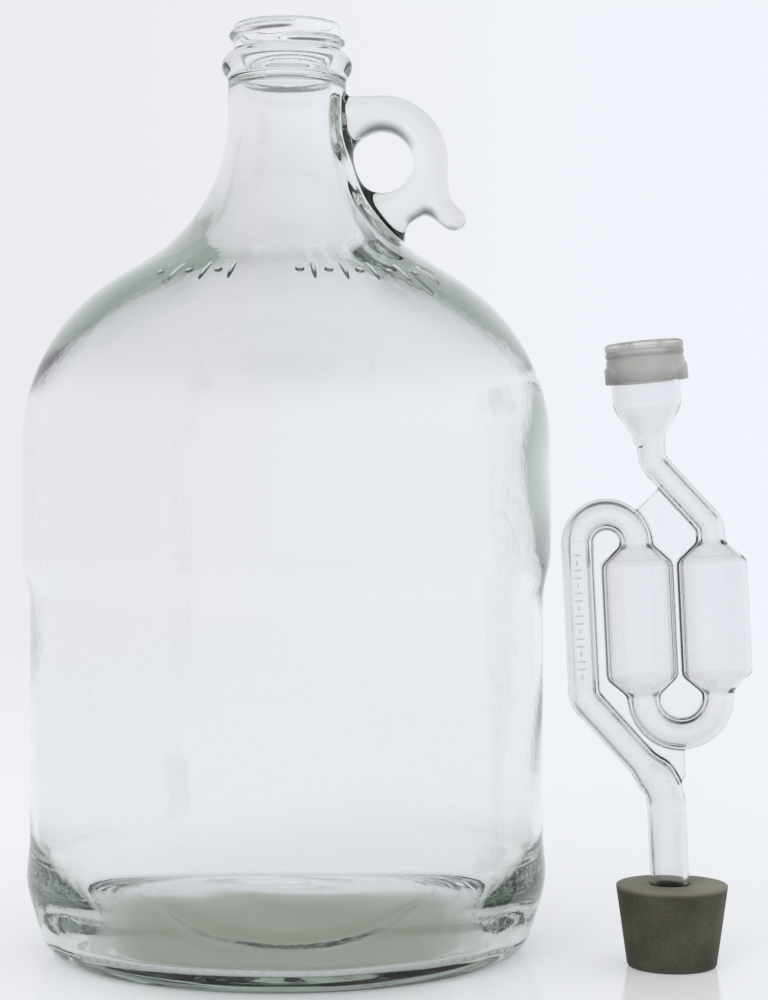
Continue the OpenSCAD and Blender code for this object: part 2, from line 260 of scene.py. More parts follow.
@dataclass(frozen=True)
class ClearFinish:
    """Glass or clear plastic, with a tint inside and a faint ripple from its mould."""

    name: str
    colour: tuple[float, float, float, float]
    tint: tuple[float, float, float, float]
    tint_density: float
    ior: float
    ripple: float
    ripple_scale: float
    stretch: float = 0.45
    short_scale: float = 7.0
    long_share: float = 0.8
    roughness: float = 0.004

    def material(self) -> bpy.types.Material:
        """Builds the material."""
        material, graph, place = new_material(self.name)
        scaled = {"Vector": place, "Scale": (1.0, 1.0, self.stretch)}
        stretched = graph.add("ShaderNodeMapping", {"vector_type": "POINT"}, scaled)
        long_wave = graph.noise(stretched, self.ripple_scale, 1.0)
        short_wave = graph.noise(place, self.ripple_scale * self.short_scale, 2.0)
        relief = long_wave * self.long_share + short_wave * (1.0 - self.long_share)
        surface = graph.principled(
            Base_Color=self.colour,
            Roughness=self.roughness,
            IOR=self.ior,
            Transmission_Weight=1.0,
            Normal=graph.bump(relief, self.ripple),
        )
        volume = graph.add(
            "ShaderNodeVolumeAbsorption", None, {"Color": self.tint, "Density": self.tint_density}
        )
        graph.add("ShaderNodeOutputMaterial", None, {"Surface": surface, "Volume": volume})
        return material


@dataclass(frozen=True)
class MilkyFinish:
    """Translucent milky plastic of the airlock's cap."""

    name: str
    light: tuple[float, float, float, float]
    dark: tuple[float, float, float, float]
    cloud_scale: float = 90.0
    grain_scale: float = 2600.0
    grain_depth: float = 0.00004
    roughness: float = 0.2
    grain_roughness: float = 0.08
    ior: float = 1.45
    transmission: float = 0.85

    def material(self) -> bpy.types.Material:
        """Builds the material."""
        material, graph, place = new_material(self.name)
        cloud = graph.noise(place, self.cloud_scale, 3.0).ease(0.3, 0.7)
        grain = graph.noise(place, self.grain_scale, 2.0)
        surface = graph.principled(
            Base_Color=graph.mix(cloud, self.dark, self.light),
            Roughness=grain * self.grain_roughness + self.roughness,
            IOR=self.ior,
            Transmission_Weight=self.transmission,
            Normal=graph.bump(grain, self.grain_depth),
        )
        graph.add("ShaderNodeOutputMaterial", None, {"Surface": surface})
        return material


@dataclass(frozen=True)
class RubberFinish:
    """Dark olive moulded rubber, matt and finely speckled, a little paler towards its top."""

    name: str
    deep: tuple[float, float, float, float]
    top_tone: tuple[float, float, float, float]
    top_from: float
    top_to: float
    cloud_scale: float = 60.0
    speckle_scale: float = 1500.0
    relief_depth: float = 0.00012
    roughness: float = 0.55
    speckle_roughness: float = 0.2

    def material(self) -> bpy.types.Material:
        """Builds the material."""
        material, graph, place = new_material(self.name)
        cloud = graph.noise(place, self.cloud_scale, 4.0)
        speckle = graph.noise(place, self.speckle_scale, 2.0)
        height = graph.add("ShaderNodeSeparateXYZ", None, {0: place}, out="Z")
        # Paler towards the top: the tone rises over the top few millimetres of the stopper.
        towards_top = height.ease(self.top_from, self.top_to) * (cloud * 0.5 + 0.6)
        tone = (cloud - 0.5) * 0.5 + (speckle - 0.5) * 0.3 + towards_top * 0.8
        surface = graph.principled(
            Base_Color=graph.mix(tone.ease(-0.4, 1.0), self.deep, self.top_tone),
            Roughness=speckle * self.speckle_roughness + self.roughness,
            Specular_IOR_Level=0.2,
            Sheen_Weight=0.07,
            Sheen_Roughness=0.5,
            Normal=graph.bump(speckle * 0.6 + cloud * 0.4, self.relief_depth),
        )
        graph.add("ShaderNodeOutputMaterial", None, {"Surface": surface})
        return material


@dataclass
class Skin:
    """A surface: points in millimetres, faces as rows of corner numbers, and an open rim's points."""

    points: np.ndarray
    faces: list = field(default_factory=list)
    rim: np.ndarray | None = None

    def join(self, other: "Skin") -> "Skin":
        """Puts another skin beside this one, with no points merged.

        Args:
            other: The other skin.

        Returns:
            Both as one skin.
        """
        shift = len(self.points)
        faces = self.faces + [tuple(int(c) + shift for c in f) for f in other.faces]
        return Skin(np.vstack([self.points, other.points]), faces)

    def piece(self, name: str, material: bpy.types.Material) -> bpy.types.Object:
        """Makes the Blender object.

        Args:
            name: The piece's name.
            material: Its material.

        Returns:
            A smooth shaded mesh object at the origin.
        """
        mesh = bpy.data.meshes.new(name)
        mesh.from_pydata((self.points * MM).tolist(), [], [tuple(map(int, f)) for f in self.faces])
        mesh.validate()
        mesh.update()
        mesh.shade_smooth()
        mesh.materials.append(material)
        item = bpy.data.objects.new(name, mesh)
        bpy.context.scene.collection.objects.link(item)
        return item


def arc(x: float, z: float, r: float, start: float, end: float, steps: int) -> list[tuple[float, float]]:
    """Points of an arc in the profile plane, between two angles in degrees."""
    turns = [math.radians(start + (end - start) * i / steps) for i in range(steps + 1)]
    return [(x + r * math.cos(a), z + r * math.sin(a)) for a in turns]


def full_turn(count: int) -> np.ndarray:
    """Angles spread evenly round a circle, in radians."""
    return np.arange(count) * FULL_TURN / count


def spin(profile: list[tuple[float, float]], around: int) -> np.ndarray:
    """Turns a profile round the z axis.

    Args:
        profile: Radius and height of each ring.
        around: Segments in a ring.

    Returns:
        Points as rings x segments x 3.
    """
    radius, height = (np.array(side)[:, None] * np.ones(around) for side in zip(*profile))
    return upright(radius, full_turn(around), height)


def upright(radius: np.ndarray, turn: np.ndarray, height: np.ndarray) -> np.ndarray:
    """Points from radius, angle and height, stacked along a last axis."""
    return np.stack([radius * np.cos(turn), radius * np.sin(turn), height], axis=-1)


def leaned(points: np.ndarray, degrees: float) -> np.ndarray:
    """Points turned about the y axis, so that what stands upright leans to the left.

    Args:
        points: Rows of x, y and z.
        degrees: How far they turn.

    Returns:
        The turned points.
    """
    c, s = math.cos(math.radians(degrees)), math.sin(math.radians(degrees))
    x, y, z = points.T
    return np.stack([x * c - z * s, y, x * s + z * c], axis=1)


def ramp(value: np.ndarray | float, low: float, high: float) -> np.ndarray | float:
    """Straight rise from 0 at low to 1 at high."""
    return np.clip((value - low) / (high - low), 0.0, 1.0)


def ease(value: np.ndarray | float, low: float, high: float) -> np.ndarray | float:
    """Smooth rise from 0 at low to 1 at high."""
    share = ramp(value, low, high)
    return share * share * (3.0 - 2.0 * share)


def revolve(rings: np.ndarray, closed_start: bool = False, closed_end: bool = False) -> Skin:
    """Skins a stack of rings.

    Args:
        rings: Points as rings x segments x 3, counter-clockwise seen from the outside end.
        closed_start: Whether the first ring is one point.
        closed_end: Whether the last ring is one point.

    Returns:
        The skin, whose faces point outwards where the stack climbs.
    """
    count, around = rings.shape[:2]
    points = rings.reshape(-1, 3)
    after = np.roll(np.arange(around), -1)
    here = np.arange(around)
    first = 1 if closed_start else 0
    last = count - 2 if closed_end else count - 1
    faces = []
    for i in range(first, last):
        low, high = i * around, (i + 1) * around
        faces += list(zip(low + here, low + after, high + after, high + here))
    if closed_start:
        faces += [(0, around + b, around + a) for a, b in zip(here, after)]
    if closed_end:
        top = (count - 1) * around
        faces += [(top, top - around + a, top - around + b) for a, b in zip(here, after)]
    used = np.unique([c for f in faces for c in f])
    renumber = np.zeros(len(points), int)
    renumber[used] = np.arange(len(used))
    return Skin(points[used], [tuple(renumber[list(f)]) for f in faces])


def zip_rings(points: np.ndarray, lower: np.ndarray, upper: np.ndarray, centre: np.ndarray) -> list:
    """Closes the gap between two rings of unlike counts with triangles.

    Args:
        points: All points.
        lower: Point numbers of the lower ring.
        upper: Point numbers of the upper ring.
        centre: The rings' axis in plan.

    Returns:
        Triangles that face away from the axis.
    """
    def turned(ring: np.ndarray) -> tuple[np.ndarray, np.ndarray]:
        """Sorts a ring by angle.

        Args:
            ring: Point numbers of a ring.

        Returns:
            Its numbers in the order of their angles, and the angles.
        """
        angle = np.arctan2(points[ring, 1] - centre[1], points[ring, 0] - centre[0])
        order = np.argsort(angle)
        return np.asarray(ring)[order], angle[order]

    low, low_angle = turned(lower)
    high, high_angle = turned(upper)
    low_angle = np.append(low_angle, low_angle[0] + FULL_TURN)
    high_angle = np.append(high_angle, high_angle[0] + FULL_TURN)
    i = j = 0
    faces = []
    while i < len(low) or j < len(high):
        here, there = low[i % len(low)], high[j % len(high)]
        step_low = j == len(high) or (i < len(low) and low_angle[i + 1] <= high_angle[j + 1])
        if step_low:
            i += 1
            faces.append((here, low[i % len(low)], there))
        else:
            j += 1
            faces.append((here, high[j % len(high)], there))
    return faces


def blend_union(a: np.ndarray, b: np.ndarray, soft: float) -> np.ndarray:
    """Union of two fields with a fillet.

    Args:
        a: Distances to one body, below zero inside.
        b: Distances to the other.
        soft: Reach of the fillet.

    Returns:
        Distances to both as one body.
    """
    share = np.clip(0.5 + 0.5 * (b - a) / soft, 0.0, 1.0)
    return b + (a - b) * share - soft * share * (1.0 - share)


def blend_cut(a: np.ndarray, b: np.ndarray, soft: float) -> np.ndarray:
    """First body less the second, with rounded rims."""
    return -blend_union(-a, b, soft)


def polygon_distance(x: np.ndarray, z: np.ndarray, outline: list[tuple[float, float]]) -> np.ndarray:
    """Signed distance to a polygon in a plane.

    Args:
        x: First coordinates.
        z: Second coordinates.
        outline: The polygon's corners in order.

    Returns:
        Distances, below zero inside.
    """
    corners = np.asarray(outline, float)
    nearest = np.full(x.shape, 1e9)
    inside = np.zeros(x.shape, bool)
    for (ax, az), (bx, bz) in zip(corners, np.roll(corners, -1, axis=0)):
        ex, ez = bx - ax, bz - az
        px, pz = x - ax, z - az
        t = np.clip((px * ex + pz * ez) / (ex * ex + ez * ez), 0.0, 1.0)
        nearest = np.minimum(nearest, (px - t * ex) ** 2 + (pz - t * ez) ** 2)
        if ez != 0.0:
            inside ^= ((az > z) != (bz > z)) & (px < ex * pz / ez)
    return np.where(inside, -1.0, 1.0) * np.sqrt(nearest)


def rounded_slab(flat: np.ndarray, across: np.ndarray, half: float, edge: float) -> np.ndarray:
    """Thickens a flat shape into a slab with round edges.

    Args:
        flat: Signed distance to the flat shape.
        across: Distance from its plane.
        half: Half of the slab's thickness.
        edge: Radius of its edges.

    Returns:
        Signed distance to the slab.
    """
    a = flat + edge
    b = np.abs(across) - half + edge
    outside = np.hypot(np.maximum(a, 0.0), np.maximum(b, 0.0))
    return np.minimum(np.maximum(a, b), 0.0) + outside - edge


@dataclass
class Mould:
    """A body given by a field, skinned on a grid and then settled on its true surface."""

    shape: Field
    low: tuple[float, float, float]
    high: tuple[float, float, float]
    step: float
    rounds: int = 4
    reach: float = 0.02
    least_slope: float = 0.05

    def skin(self) -> Skin:
        """Skins the body with one point in each grid cell that its surface crosses."""
        low = np.asarray(self.low, float)
        counts = np.ceil((np.asarray(self.high) - low) / self.step).astype(int) + 1
        axes = [low[i] + self.step * np.arange(counts[i]) for i in range(3)]
        grid = np.stack(np.meshgrid(*axes, indexing="ij"), axis=-1).reshape(-1, 3)
        value = self.shape(grid).reshape(counts)
        inside = value < 0.0
        corners = [np.array((i, j, k)) for i in (0, 1) for j in (0, 1) for k in (0, 1)]
        spans = [[slice(c, count - 1 + c) for c, count in zip(corner, counts)] for corner in corners]
        total = sum(inside[tuple(span)].astype(int) for span in spans)
        cells = (total > 0) & (total < 8)
        number = np.full(cells.shape, -1)
        number[cells] = np.arange(np.count_nonzero(cells))
        at = np.argwhere(cells)
        sums, hits = np.zeros((len(at), 3)), np.zeros(len(at))
        for corner in corners:
            for axis in range(3):
                if corner[axis]:
                    continue
                along = np.eye(3, dtype=int)[axis]
                va = value[tuple((at + corner).T)]
                vb = value[tuple((at + corner + along).T)]
                cross = (va < 0.0) != (vb < 0.0)
                share = np.where(cross, va / np.where(cross, va - vb, 1.0), 0.0)
                sums += cross[:, None] * (corner + share[:, None] * along)
                hits += cross
        points = low + self.step * (at + sums / hits[:, None])
        skin = Skin(points, self.quads(inside, number))
        self.settle(skin)
        return skin

    def quads(self, inside: np.ndarray, number: np.ndarray) -> list:
        """Faces round each grid edge that crosses the surface.

        Args:
            inside: Which grid points are in the body.
            number: Each cell's point number.

        Returns:
            Four corners per face, facing outwards.
        """
        faces = []
        for axis in range(3):
            u, v = (axis + 1) % 3, (axis + 2) % 3
            change = np.diff(inside.astype(np.int8), axis=axis)
            at = np.argwhere(change != 0)
            kept = (at[:, u] > 0) & (at[:, v] > 0)
            kept &= (at[:, u] < number.shape[u]) & (at[:, v] < number.shape[v])
            at = at[kept]
            du, dv = np.eye(3, dtype=int)[u], np.eye(3, dtype=int)[v]
            ring = [number[tuple((at - back).T)] for back in (0 * du, du, du + dv, dv)]
            quads = np.stack(ring, axis=1)
            falls = change[tuple(at.T)] > 0
            quads[falls] = quads[falls][:, ::-1]
            faces += quads.tolist()
        return faces

    def gradient(self, points: np.ndarray) -> np.ndarray:
        """Slope of the field at each point.

        Args:
            points: Rows of x, y and z.

        Returns:
            The field's change along each axis.
        """
        steps = np.eye(3) * self.reach
        rises = [self.shape(points + s) - self.shape(points - s) for s in steps]
        return np.stack(rises, axis=1) / (2 * self.reach)

    def settle(self, skin: Skin) -> None:
        """Evens out the points and puts them on the surface, keeping an open rim in its plane.

        Args:
            skin: The skin, which is changed and told its rim.
        """
        faces = np.asarray(skin.faces)
        edges = np.vstack([faces[:, [i, (i + 1) % 4]] for i in range(4)])
        pair, uses = np.unique(np.sort(edges, axis=1), axis=0, return_counts=True)
        rim = np.zeros(len(skin.points), bool)
        rim[pair[uses == 1].ravel()] = True
        count = np.bincount(edges.ravel(), minlength=len(skin.points))[:, None]
        for turn in range(self.rounds):
            if turn < self.rounds - 1:
                mean = np.zeros_like(skin.points)
                np.add.at(mean, edges[:, 0], skin.points[edges[:, 1]])
                np.add.at(mean, edges[:, 1], skin.points[edges[:, 0]])
                skin.points[~rim] += 0.5 * (mean / count - skin.points)[~rim]
            skin.points[rim, 2] = self.low[2]
            slope = self.gradient(skin.points)
            slope[rim, 2] = 0.0
            size = np.maximum((slope ** 2).sum(axis=1), self.least_slope)
            move = (self.shape(skin.points) / size)[:, None] * slope
            skin.points -= np.clip(move, -self.step, self.step)
        skin.rim = np.flatnonzero(rim)


def soften(outline: list[tuple[float, float]], rounds: int = 2) -> list[tuple[float, float]]:
    """Cuts the corners of a closed outline until it runs smoothly.

    Args:
        outline: Its corners in order.
        rounds: How often each corner is cut.

    Returns:
        The smoother outline.
    """
    corners = np.asarray(outline, float)
    for _ in range(rounds):
        after = np.roll(corners, -1, axis=0)
        pairs = [0.75 * corners + 0.25 * after, 0.25 * corners + 0.75 * after]
        corners = np.stack(pairs, axis=1).reshape(-1, 2)
    return [tuple(c) for c in corners]


@dataclass
class Marks:
    """Small raised marks that Geometry Nodes sets on a surface."""

    places: list[tuple[float, float, float]]
    turns: list[tuple[float, float, float]]
    sizes: list[tuple[float, float, float]]
    jitter: float = 0.12
    seed: int = 7
    segments: int = 20

    def tree(self) -> bpy.types.NodeTree:
        """Builds the nodes: one rounded mark on each point, turned and sized by its attributes."""
        tree = bpy.data.node_groups.new("raised_marks", "GeometryNodeTree")
        kinds = {"Points": "Geometry", "Jitter": "Float", "Seed": "Int", "Segments": "Int"}
        kinds["Material"] = "Material"
        for name, kind in kinds.items():
            tree.interface.new_socket(name, in_out="INPUT", socket_type="NodeSocket" + kind)
        tree.interface.new_socket("Marks", in_out="OUTPUT", socket_type="NodeSocketGeometry")
        graph = Graph(tree)
        points, jitter, seed, segments, material = graph.every("NodeGroupInput", *kinds)
        mark = graph.add(
            "GeometryNodeMeshUVSphere", None, {"Segments": segments, "Rings": segments, "Radius": 0.5}
        )
        vector = {"data_type": "FLOAT_VECTOR"}
        turn = graph.add("GeometryNodeInputNamedAttribute", vector, {"Name": "turn"})
        size = graph.add("GeometryNodeInputNamedAttribute", vector, {"Name": "size"})
        share = graph.add(
            "FunctionNodeRandomValue", {"data_type": "FLOAT"},
            {"Min": 1.0 - jitter, "Max": 1.0, "Seed": seed}, out=1,
        )
        scale = graph.add("ShaderNodeVectorMath", {"operation": "SCALE"}, {0: size, "Scale": share})
        rotation = graph.add("FunctionNodeEulerToRotation", None, {0: turn})
        placed = graph.add(
            "GeometryNodeInstanceOnPoints", None,
            {"Points": points, "Instance": mark, "Rotation": rotation, "Scale": scale},
        )
        solid = graph.add("GeometryNodeRealizeInstances", None, {0: placed})
        smooth = graph.add("GeometryNodeSetShadeSmooth", None, {0: solid})
        dressed = graph.add("GeometryNodeSetMaterial", None, {0: smooth, "Material": material})
        graph.add("NodeGroupOutput", None, {0: dressed})
        return tree

    def piece(self, name: str, material: bpy.types.Material) -> bpy.types.Object:
        """Makes the marks' object, with the nodes turned into a plain mesh.

        Args:
            name: The piece's name.
            material: Its material.

        Returns:
            The object at the origin.
        """
        mesh = bpy.data.meshes.new(name + "_points")
        mesh.from_pydata((np.array(self.places) * MM).tolist(), [], [])
        for label, rows in (("turn", self.turns), ("size", np.array(self.sizes) * MM)):
            layer = mesh.attributes.new(label, "FLOAT_VECTOR", "POINT")
            layer.data.foreach_set("vector", np.asarray(rows, np.float32).ravel())
        item = bpy.data.objects.new(name, mesh)
        bpy.context.scene.collection.objects.link(item)
        modifier = item.modifiers.new("marks", "NODES")
        modifier.node_group = self.tree()
        values = {
            "Jitter": self.jitter, "Seed": self.seed, "Segments": self.segments, "Material": material
        }
        for entry in modifier.node_group.interface.items_tree:
            if entry.in_out == "INPUT" and entry.name in values:
                modifier[entry.identifier] = values[entry.name]
        return bake(item)


def bake(item: bpy.types.Object) -> bpy.types.Object:
    """Turns an object's modifiers into its plain mesh.

    Args:
        item: The object, whose modifiers are removed.

    Returns:
        The same object.
    """
    ready = item.evaluated_get(bpy.context.evaluated_depsgraph_get())
    mesh = bpy.data.meshes.new_from_object(ready)
    item.modifiers.clear()
    item.data = mesh
    return item


@dataclass
class FingerLoop:
    """Glass ring by the neck with its flicked tail, centred on the finger hole.

    The flick and the bridge to the neck are outlines about the hole's middle. Outside the reach
    the field holds one far value, which no surface comes near.
    """

    out: float = 30.1
    down: float = 43.5
    hole_r: float = 9.85
    outer_r: float = 20.9
    half_thick: float = 6.5
    edge: float = 4.6
    flick: tuple = (
        (8, 0), (19.6, 1), (20.9, -6), (21.3, -10.2), (22.6, -13.0), (24.9, -15.2), (26.9, -17.2),
        (26.4, -20.0), (24.2, -21.4), (21.4, -21.3), (18.9, -19.7), (17.0, -17.9), (14.6, -16.6),
        (12.0, -16.5), (9.3, -18.0), (7.6, -21.0), (6.5, -26.5), (-7, -28), (-10, -9),
    )
    bridge: tuple = ((-14, 8), (-14, 20.2), (-9, 20.6), (0, 20.9), (5, 14))
    flick_soft: float = 1.0
    from_x: float = 6.0
    reach_y: float = 12.0
    reach_down: float = 34.0

    def field(self, points: np.ndarray, loop_z: float) -> np.ndarray:
        """Signed distance to the loop, before it joins the neck.

        Args:
            points: Points on the jug's own axis.
            loop_z: Height of the hole's middle.

        Returns:
            The distances.
        """
        near = (points[:, 0] > self.from_x) & (np.abs(points[:, 1]) < self.reach_y)
        near &= points[:, 2] > loop_z - self.reach_down
        result = np.full(len(points), FAR)
        x, y, z = points[near, 0] - self.out, points[near, 1], points[near, 2] - loop_z
        radius = np.hypot(x, z)
        shape = np.minimum(radius - self.outer_r, polygon_distance(x, z, self.bridge))
        shape = blend_union(shape, polygon_distance(x, z, soften(self.flick)), self.flick_soft)
        shape = np.maximum(shape, self.hole_r - radius)
        result[near] = rounded_slab(shape, y, self.half_thick, self.edge)
        return result


@dataclass
class ScrewThread:
    """One-start rib round the mouth that fades at both ends."""

    mouth_r: float = 17.0
    rise: float = 1.45
    half_wide: float = 1.05
    pitch: float = 4.2
    turns: float = 1.07
    start: float = -73.0
    drop: float = 2.4
    fade: float = 22.0
    reach: float = 14.0
    past_end: float = 0.02

    def field(self, points: np.ndarray, top: float) -> np.ndarray:
        """Signed distance to the rib.

        Args:
            points: Points on the jug's own axis.
            top: Height of the lip.

        Returns:
            The distances.
        """
        near = points[:, 2] > top - self.reach
        result = np.full(len(points), FAR)
        points = points[near]
        radius = np.hypot(points[:, 0], points[:, 1])
        angle = np.degrees(np.arctan2(points[:, 1], points[:, 0]))
        length = 360.0 * self.turns
        best = np.full(len(points), FAR)
        for lap in range(3):
            run = (self.start - angle) % 360.0 + 360.0 * (lap - 1)
            held = np.clip(run, 0.0, length)
            height = points[:, 2] - (top - self.drop - self.pitch * held / 360.0)
            full = ease(np.minimum(held, length - held), 0.0, self.fade)
            sink = self.rise * (1.0 - full) + self.past_end * np.abs(run - held)
            across = (radius - self.mouth_r + sink) / self.rise
            best = np.minimum(best, (np.hypot(across, height / self.half_wide) - 1.0) * self.rise)
        result[near] = best
        return result


@dataclass
class BlownInside:
    """Unevenness that blowing leaves inside the jug, as changes to its inner wall and floor.

    A wave of the wall is its share, lobes round the jug, height of a radian and start. Glass has
    settled in the shoulder, mostly at the sides, and the right wall is heavier in one band.
    """

    wall_depth: float = 0.14
    wall_waves: tuple = (
        (1.0, 2, 31.0, 0.0), (0.7, 3, -19.0, 1.3), (0.5, 5, 13.0, 0.4), (0.35, 7, -8.5, 0.0),
    )
    wall_from: tuple[float, float] = (20.0, 50.0)
    wall_to: tuple[float, float] = (222.0, 262.0)
    heavy: float = 2.7
    heavy_z: float = 150.0
    heavy_spread: float = 26.0
    heavy_from: tuple[float, float] = (116.0, 128.0)
    heavy_focus: float = 3.5
    settled: float = 3.9
    settled_even: float = 0.2
    settled_from: tuple[float, float] = (170.0, 216.0)
    settled_to: tuple[float, float] = (208.0, 252.0)
    floor_depth: float = 0.4
    floor_middle: float = 8.0
    floor_to: tuple[float, float] = (10.0, 22.0)
    ring_wave: float = 0.4
    ring_length: float = 4.4
    slant_wave: float = 0.3
    side_wave: float = 0.7
    side_length: float = 5.5
    side_from: tuple[float, float] = (30.0, 55.0)
    hollow: float = 5.0
    hollow_r: float = 53.0
    hollow_spread: float = 9.0

    def wall(self, z: np.ndarray, turn: np.ndarray) -> np.ndarray:
        """Change of the inner radius.

        Args:
            z: Heights.
            turn: Angles round the axis.

        Returns:
            The changes, above zero where the glass is thinner.
        """
        wave = sum(
            share * np.sin(lobes * turn + z / length + start)
            for share, lobes, length, start in self.wall_waves
        )
        wave = self.wall_depth * wave * ramp(z, *self.wall_from) * (1.0 - ramp(z, *self.wall_to))
        band = np.exp(-(((z - self.heavy_z) / self.heavy_spread) ** 2)) * ramp(z, *self.heavy_from)
        return wave - self.heavy * band * np.exp(self.heavy_focus * (np.cos(turn) - 1.0))

    def extra(self, z: np.ndarray, turn: np.ndarray) -> np.ndarray:
        """Thickness of the glass that has settled in the shoulder.

        Args:
            z: Heights.
            turn: Angles round the axis.

        Returns:
            What it adds to the wall.
        """
        sides = self.settled_even + (1.0 - self.settled_even) * np.cos(turn) ** 2
        return self.settled * sides * ease(z, *self.settled_from) * (1.0 - ease(z, *self.settled_to))

    def floor(self, radius: np.ndarray, z: np.ndarray, turn: np.ndarray) -> np.ndarray:
        """Wrinkles and hollows of the floor, which fade up the wall.

        Args:
            radius: Distances from the axis.
            z: Heights.
            turn: Angles round the axis.

        Returns:
            Change of height.
        """
        x, y = radius * np.cos(turn), radius * np.sin(turn)
        relief = self.ring_wave * np.sin(radius / self.ring_length + 0.9 * np.sin(2.0 * turn + 0.5))
        relief = relief + self.slant_wave * np.sin(x / 9.0 + y / 7.0)
        side = np.sin(x / self.side_length + 1.6 * np.sin(y / 7.0)) * ramp(np.abs(x), *self.side_from)
        relief = relief + self.side_wave * side
        hollow = np.exp(-(((radius - self.hollow_r) / self.hollow_spread) ** 2)) * np.cos(turn) ** 6
        relief = self.floor_depth * (relief - self.hollow * hollow)
        return relief * ramp(radius, 0.0, self.floor_middle) * (1.0 - ramp(z, *self.floor_to))


@dataclass
class GlassJug:
    """The jug in one piece of glass: body, push-up base, neck, thread, bead and finger loop."""

    finish: ClearFinish
    body_r: float = 83.5
    label_r: float = 81.0
    label_low: float = 34.0
    label_high: float = 110.0
    label_step: float = 16.0
    shoulder_z: float = 158.0
    shoulder_r: float = 63.0
    sweep_r: float = 55.0
    neck_r: float = 18.7
    flow: float = 8.0
    flow_steps: int = 30
    steepest: float = 0.999
    wall: float = 3.0
    neck_wall: float = 4.7
    heel_r: float = 8.0
    heel_taper_r: float = 53.0
    heel_taper: float = 23.6
    heel_bead: float = 0.9
    swell_drop: float = 10.0
    swell_half: float = 12.0
    ring_r: float = 68.0
    ring_half: float = 2.0
    ring_lift: float = 0.35
    push_up: float = 8.0
    seam: float = 0.3
    seam_half: float = 1.3
    seams: tuple = (47.0, 59.0)
    base_wall: float = 6.0
    floor_r: float = 66.0
    floor_corner_r: float = 5.2
    corner_skip: float = 5.0
    corner_end: float = -20.0
    heel_power: float = 1.1
    mouth_r: float = 17.0
    bore_r: float = 14.9
    bore_len: float = 16.0
    bore_step: float = 1.2
    lip_hole_r: float = 12.8
    lip_from: tuple[float, float] = (4.0, 1.2)
    thicker: tuple[float, float] = (205.0, 262.0)
    bead_r: float = 20.6
    bead_half: float = 4.0
    bead_drop: float = 13.1
    lip_r: float = 1.2
    join_z: float = 218.0
    loop_soft: float = 2.6
    mouth_soft: float = 0.6
    bead_soft: float = 1.2
    thread_soft: float = 0.45
    bore_soft: float = 0.9
    around: int = 224
    grid_step: float = 0.66
    neck_reach: float = 52.0
    loop_reach: float = 60.0
    ribs: int = 96
    rib_long: float = 4.2
    rib_wide: float = 1.5
    rib_sink: float = 0.05
    mark_z: float = 209.6
    mark_across: tuple = (-36, -31, -27, -22, -18, -14, 6, 10, 14.5, 19, 23.5, 27.5, 32, 36, 40, 44)
    dot: tuple[float, float, float] = (1.5, 3.0, 3.0)
    stroke: tuple[float, float, float] = (1.5, 1.5, 11.0)
    blown: BlownInside = field(default_factory=BlownInside)
    loop: FingerLoop = field(default_factory=FingerLoop)
    thread: ScrewThread = field(default_factory=ScrewThread)

    def __post_init__(self) -> None:
        """Takes the jug's axis and height from the frame."""
        mouth = next(m for m in frame["record"]["mounts"] if m["name"] == "mouth_bore")
        self.axis_x = mouth["pos_m"][0] / MM
        self.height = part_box("glass_jug")[1].z / MM
        self.sweep_x = self.neck_r + self.sweep_r
        run = self.sweep_x - self.body_r + self.shoulder_r
        reach = self.shoulder_r + self.sweep_r
        self.sweep_z = self.shoulder_z + math.sqrt(reach ** 2 - run ** 2)
        self.turn_z = self.shoulder_z + self.shoulder_r * (self.sweep_z - self.shoulder_z) / reach
        self.inner_ring = self.ring_r - self.ring_half
        self.dome_r = (self.inner_ring ** 2 + self.push_up ** 2) / (2 * self.push_up)

    def outer(self, z: np.ndarray) -> tuple[np.ndarray, np.ndarray]:
        """Outer radius from the shoulder up, where one curve flows into the next, and its slope.

        Args:
            z: Heights.

        Returns:
            Radius, and change of radius with height.
        """
        radius = slope = 0.0
        arch_x = self.body_r - self.shoulder_r
        highest, lowest = self.shoulder_r * self.steepest, self.sweep_r * self.steepest
        for step in np.linspace(-1.0, 1.0, self.flow_steps + 1)[1:-1]:
            shift, share = self.flow * step, (1.0 + math.cos(math.pi * step)) / self.flow_steps
            up = np.clip(z + shift - self.shoulder_z, 0.0, highest)
            arch = np.sqrt(self.shoulder_r ** 2 - up ** 2)
            down = np.clip(self.sweep_z - z - shift, 0.0, lowest)
            hollow = np.sqrt(self.sweep_r ** 2 - down ** 2)
            on_arch = z + shift < self.turn_z
            radius = radius + share * np.where(on_arch, arch_x + arch, self.sweep_x - hollow)
            slope = slope + share * np.where(on_arch, -up / arch, -down / hollow)
        return radius, slope

    def inner(self, z: np.ndarray, turn: np.ndarray) -> np.ndarray:
        """Inner radius from the shoulder up, with the step below the bore.

        Args:
            z: Heights.
            turn: Angles round the axis, in radians.

        Returns:
            Radius of the inner wall.
        """
        radius, slope = self.outer(z)
        wall = self.wall + self.blown.extra(z, turn)
        wall = wall + (self.neck_wall - self.wall) * ease(z, *self.thicker)
        inside = radius - wall * np.sqrt(1.0 + slope ** 2) + self.blown.wall(z, turn)
        bore_end = self.height - self.bore_len
        below, narrow = self.lip_from
        inside = inside + (self.lip_hole_r - inside) * ease(z, bore_end - below, bore_end - narrow)
        return inside + (self.bore_r - inside) * ramp(z, bore_end - self.bore_step, bore_end)

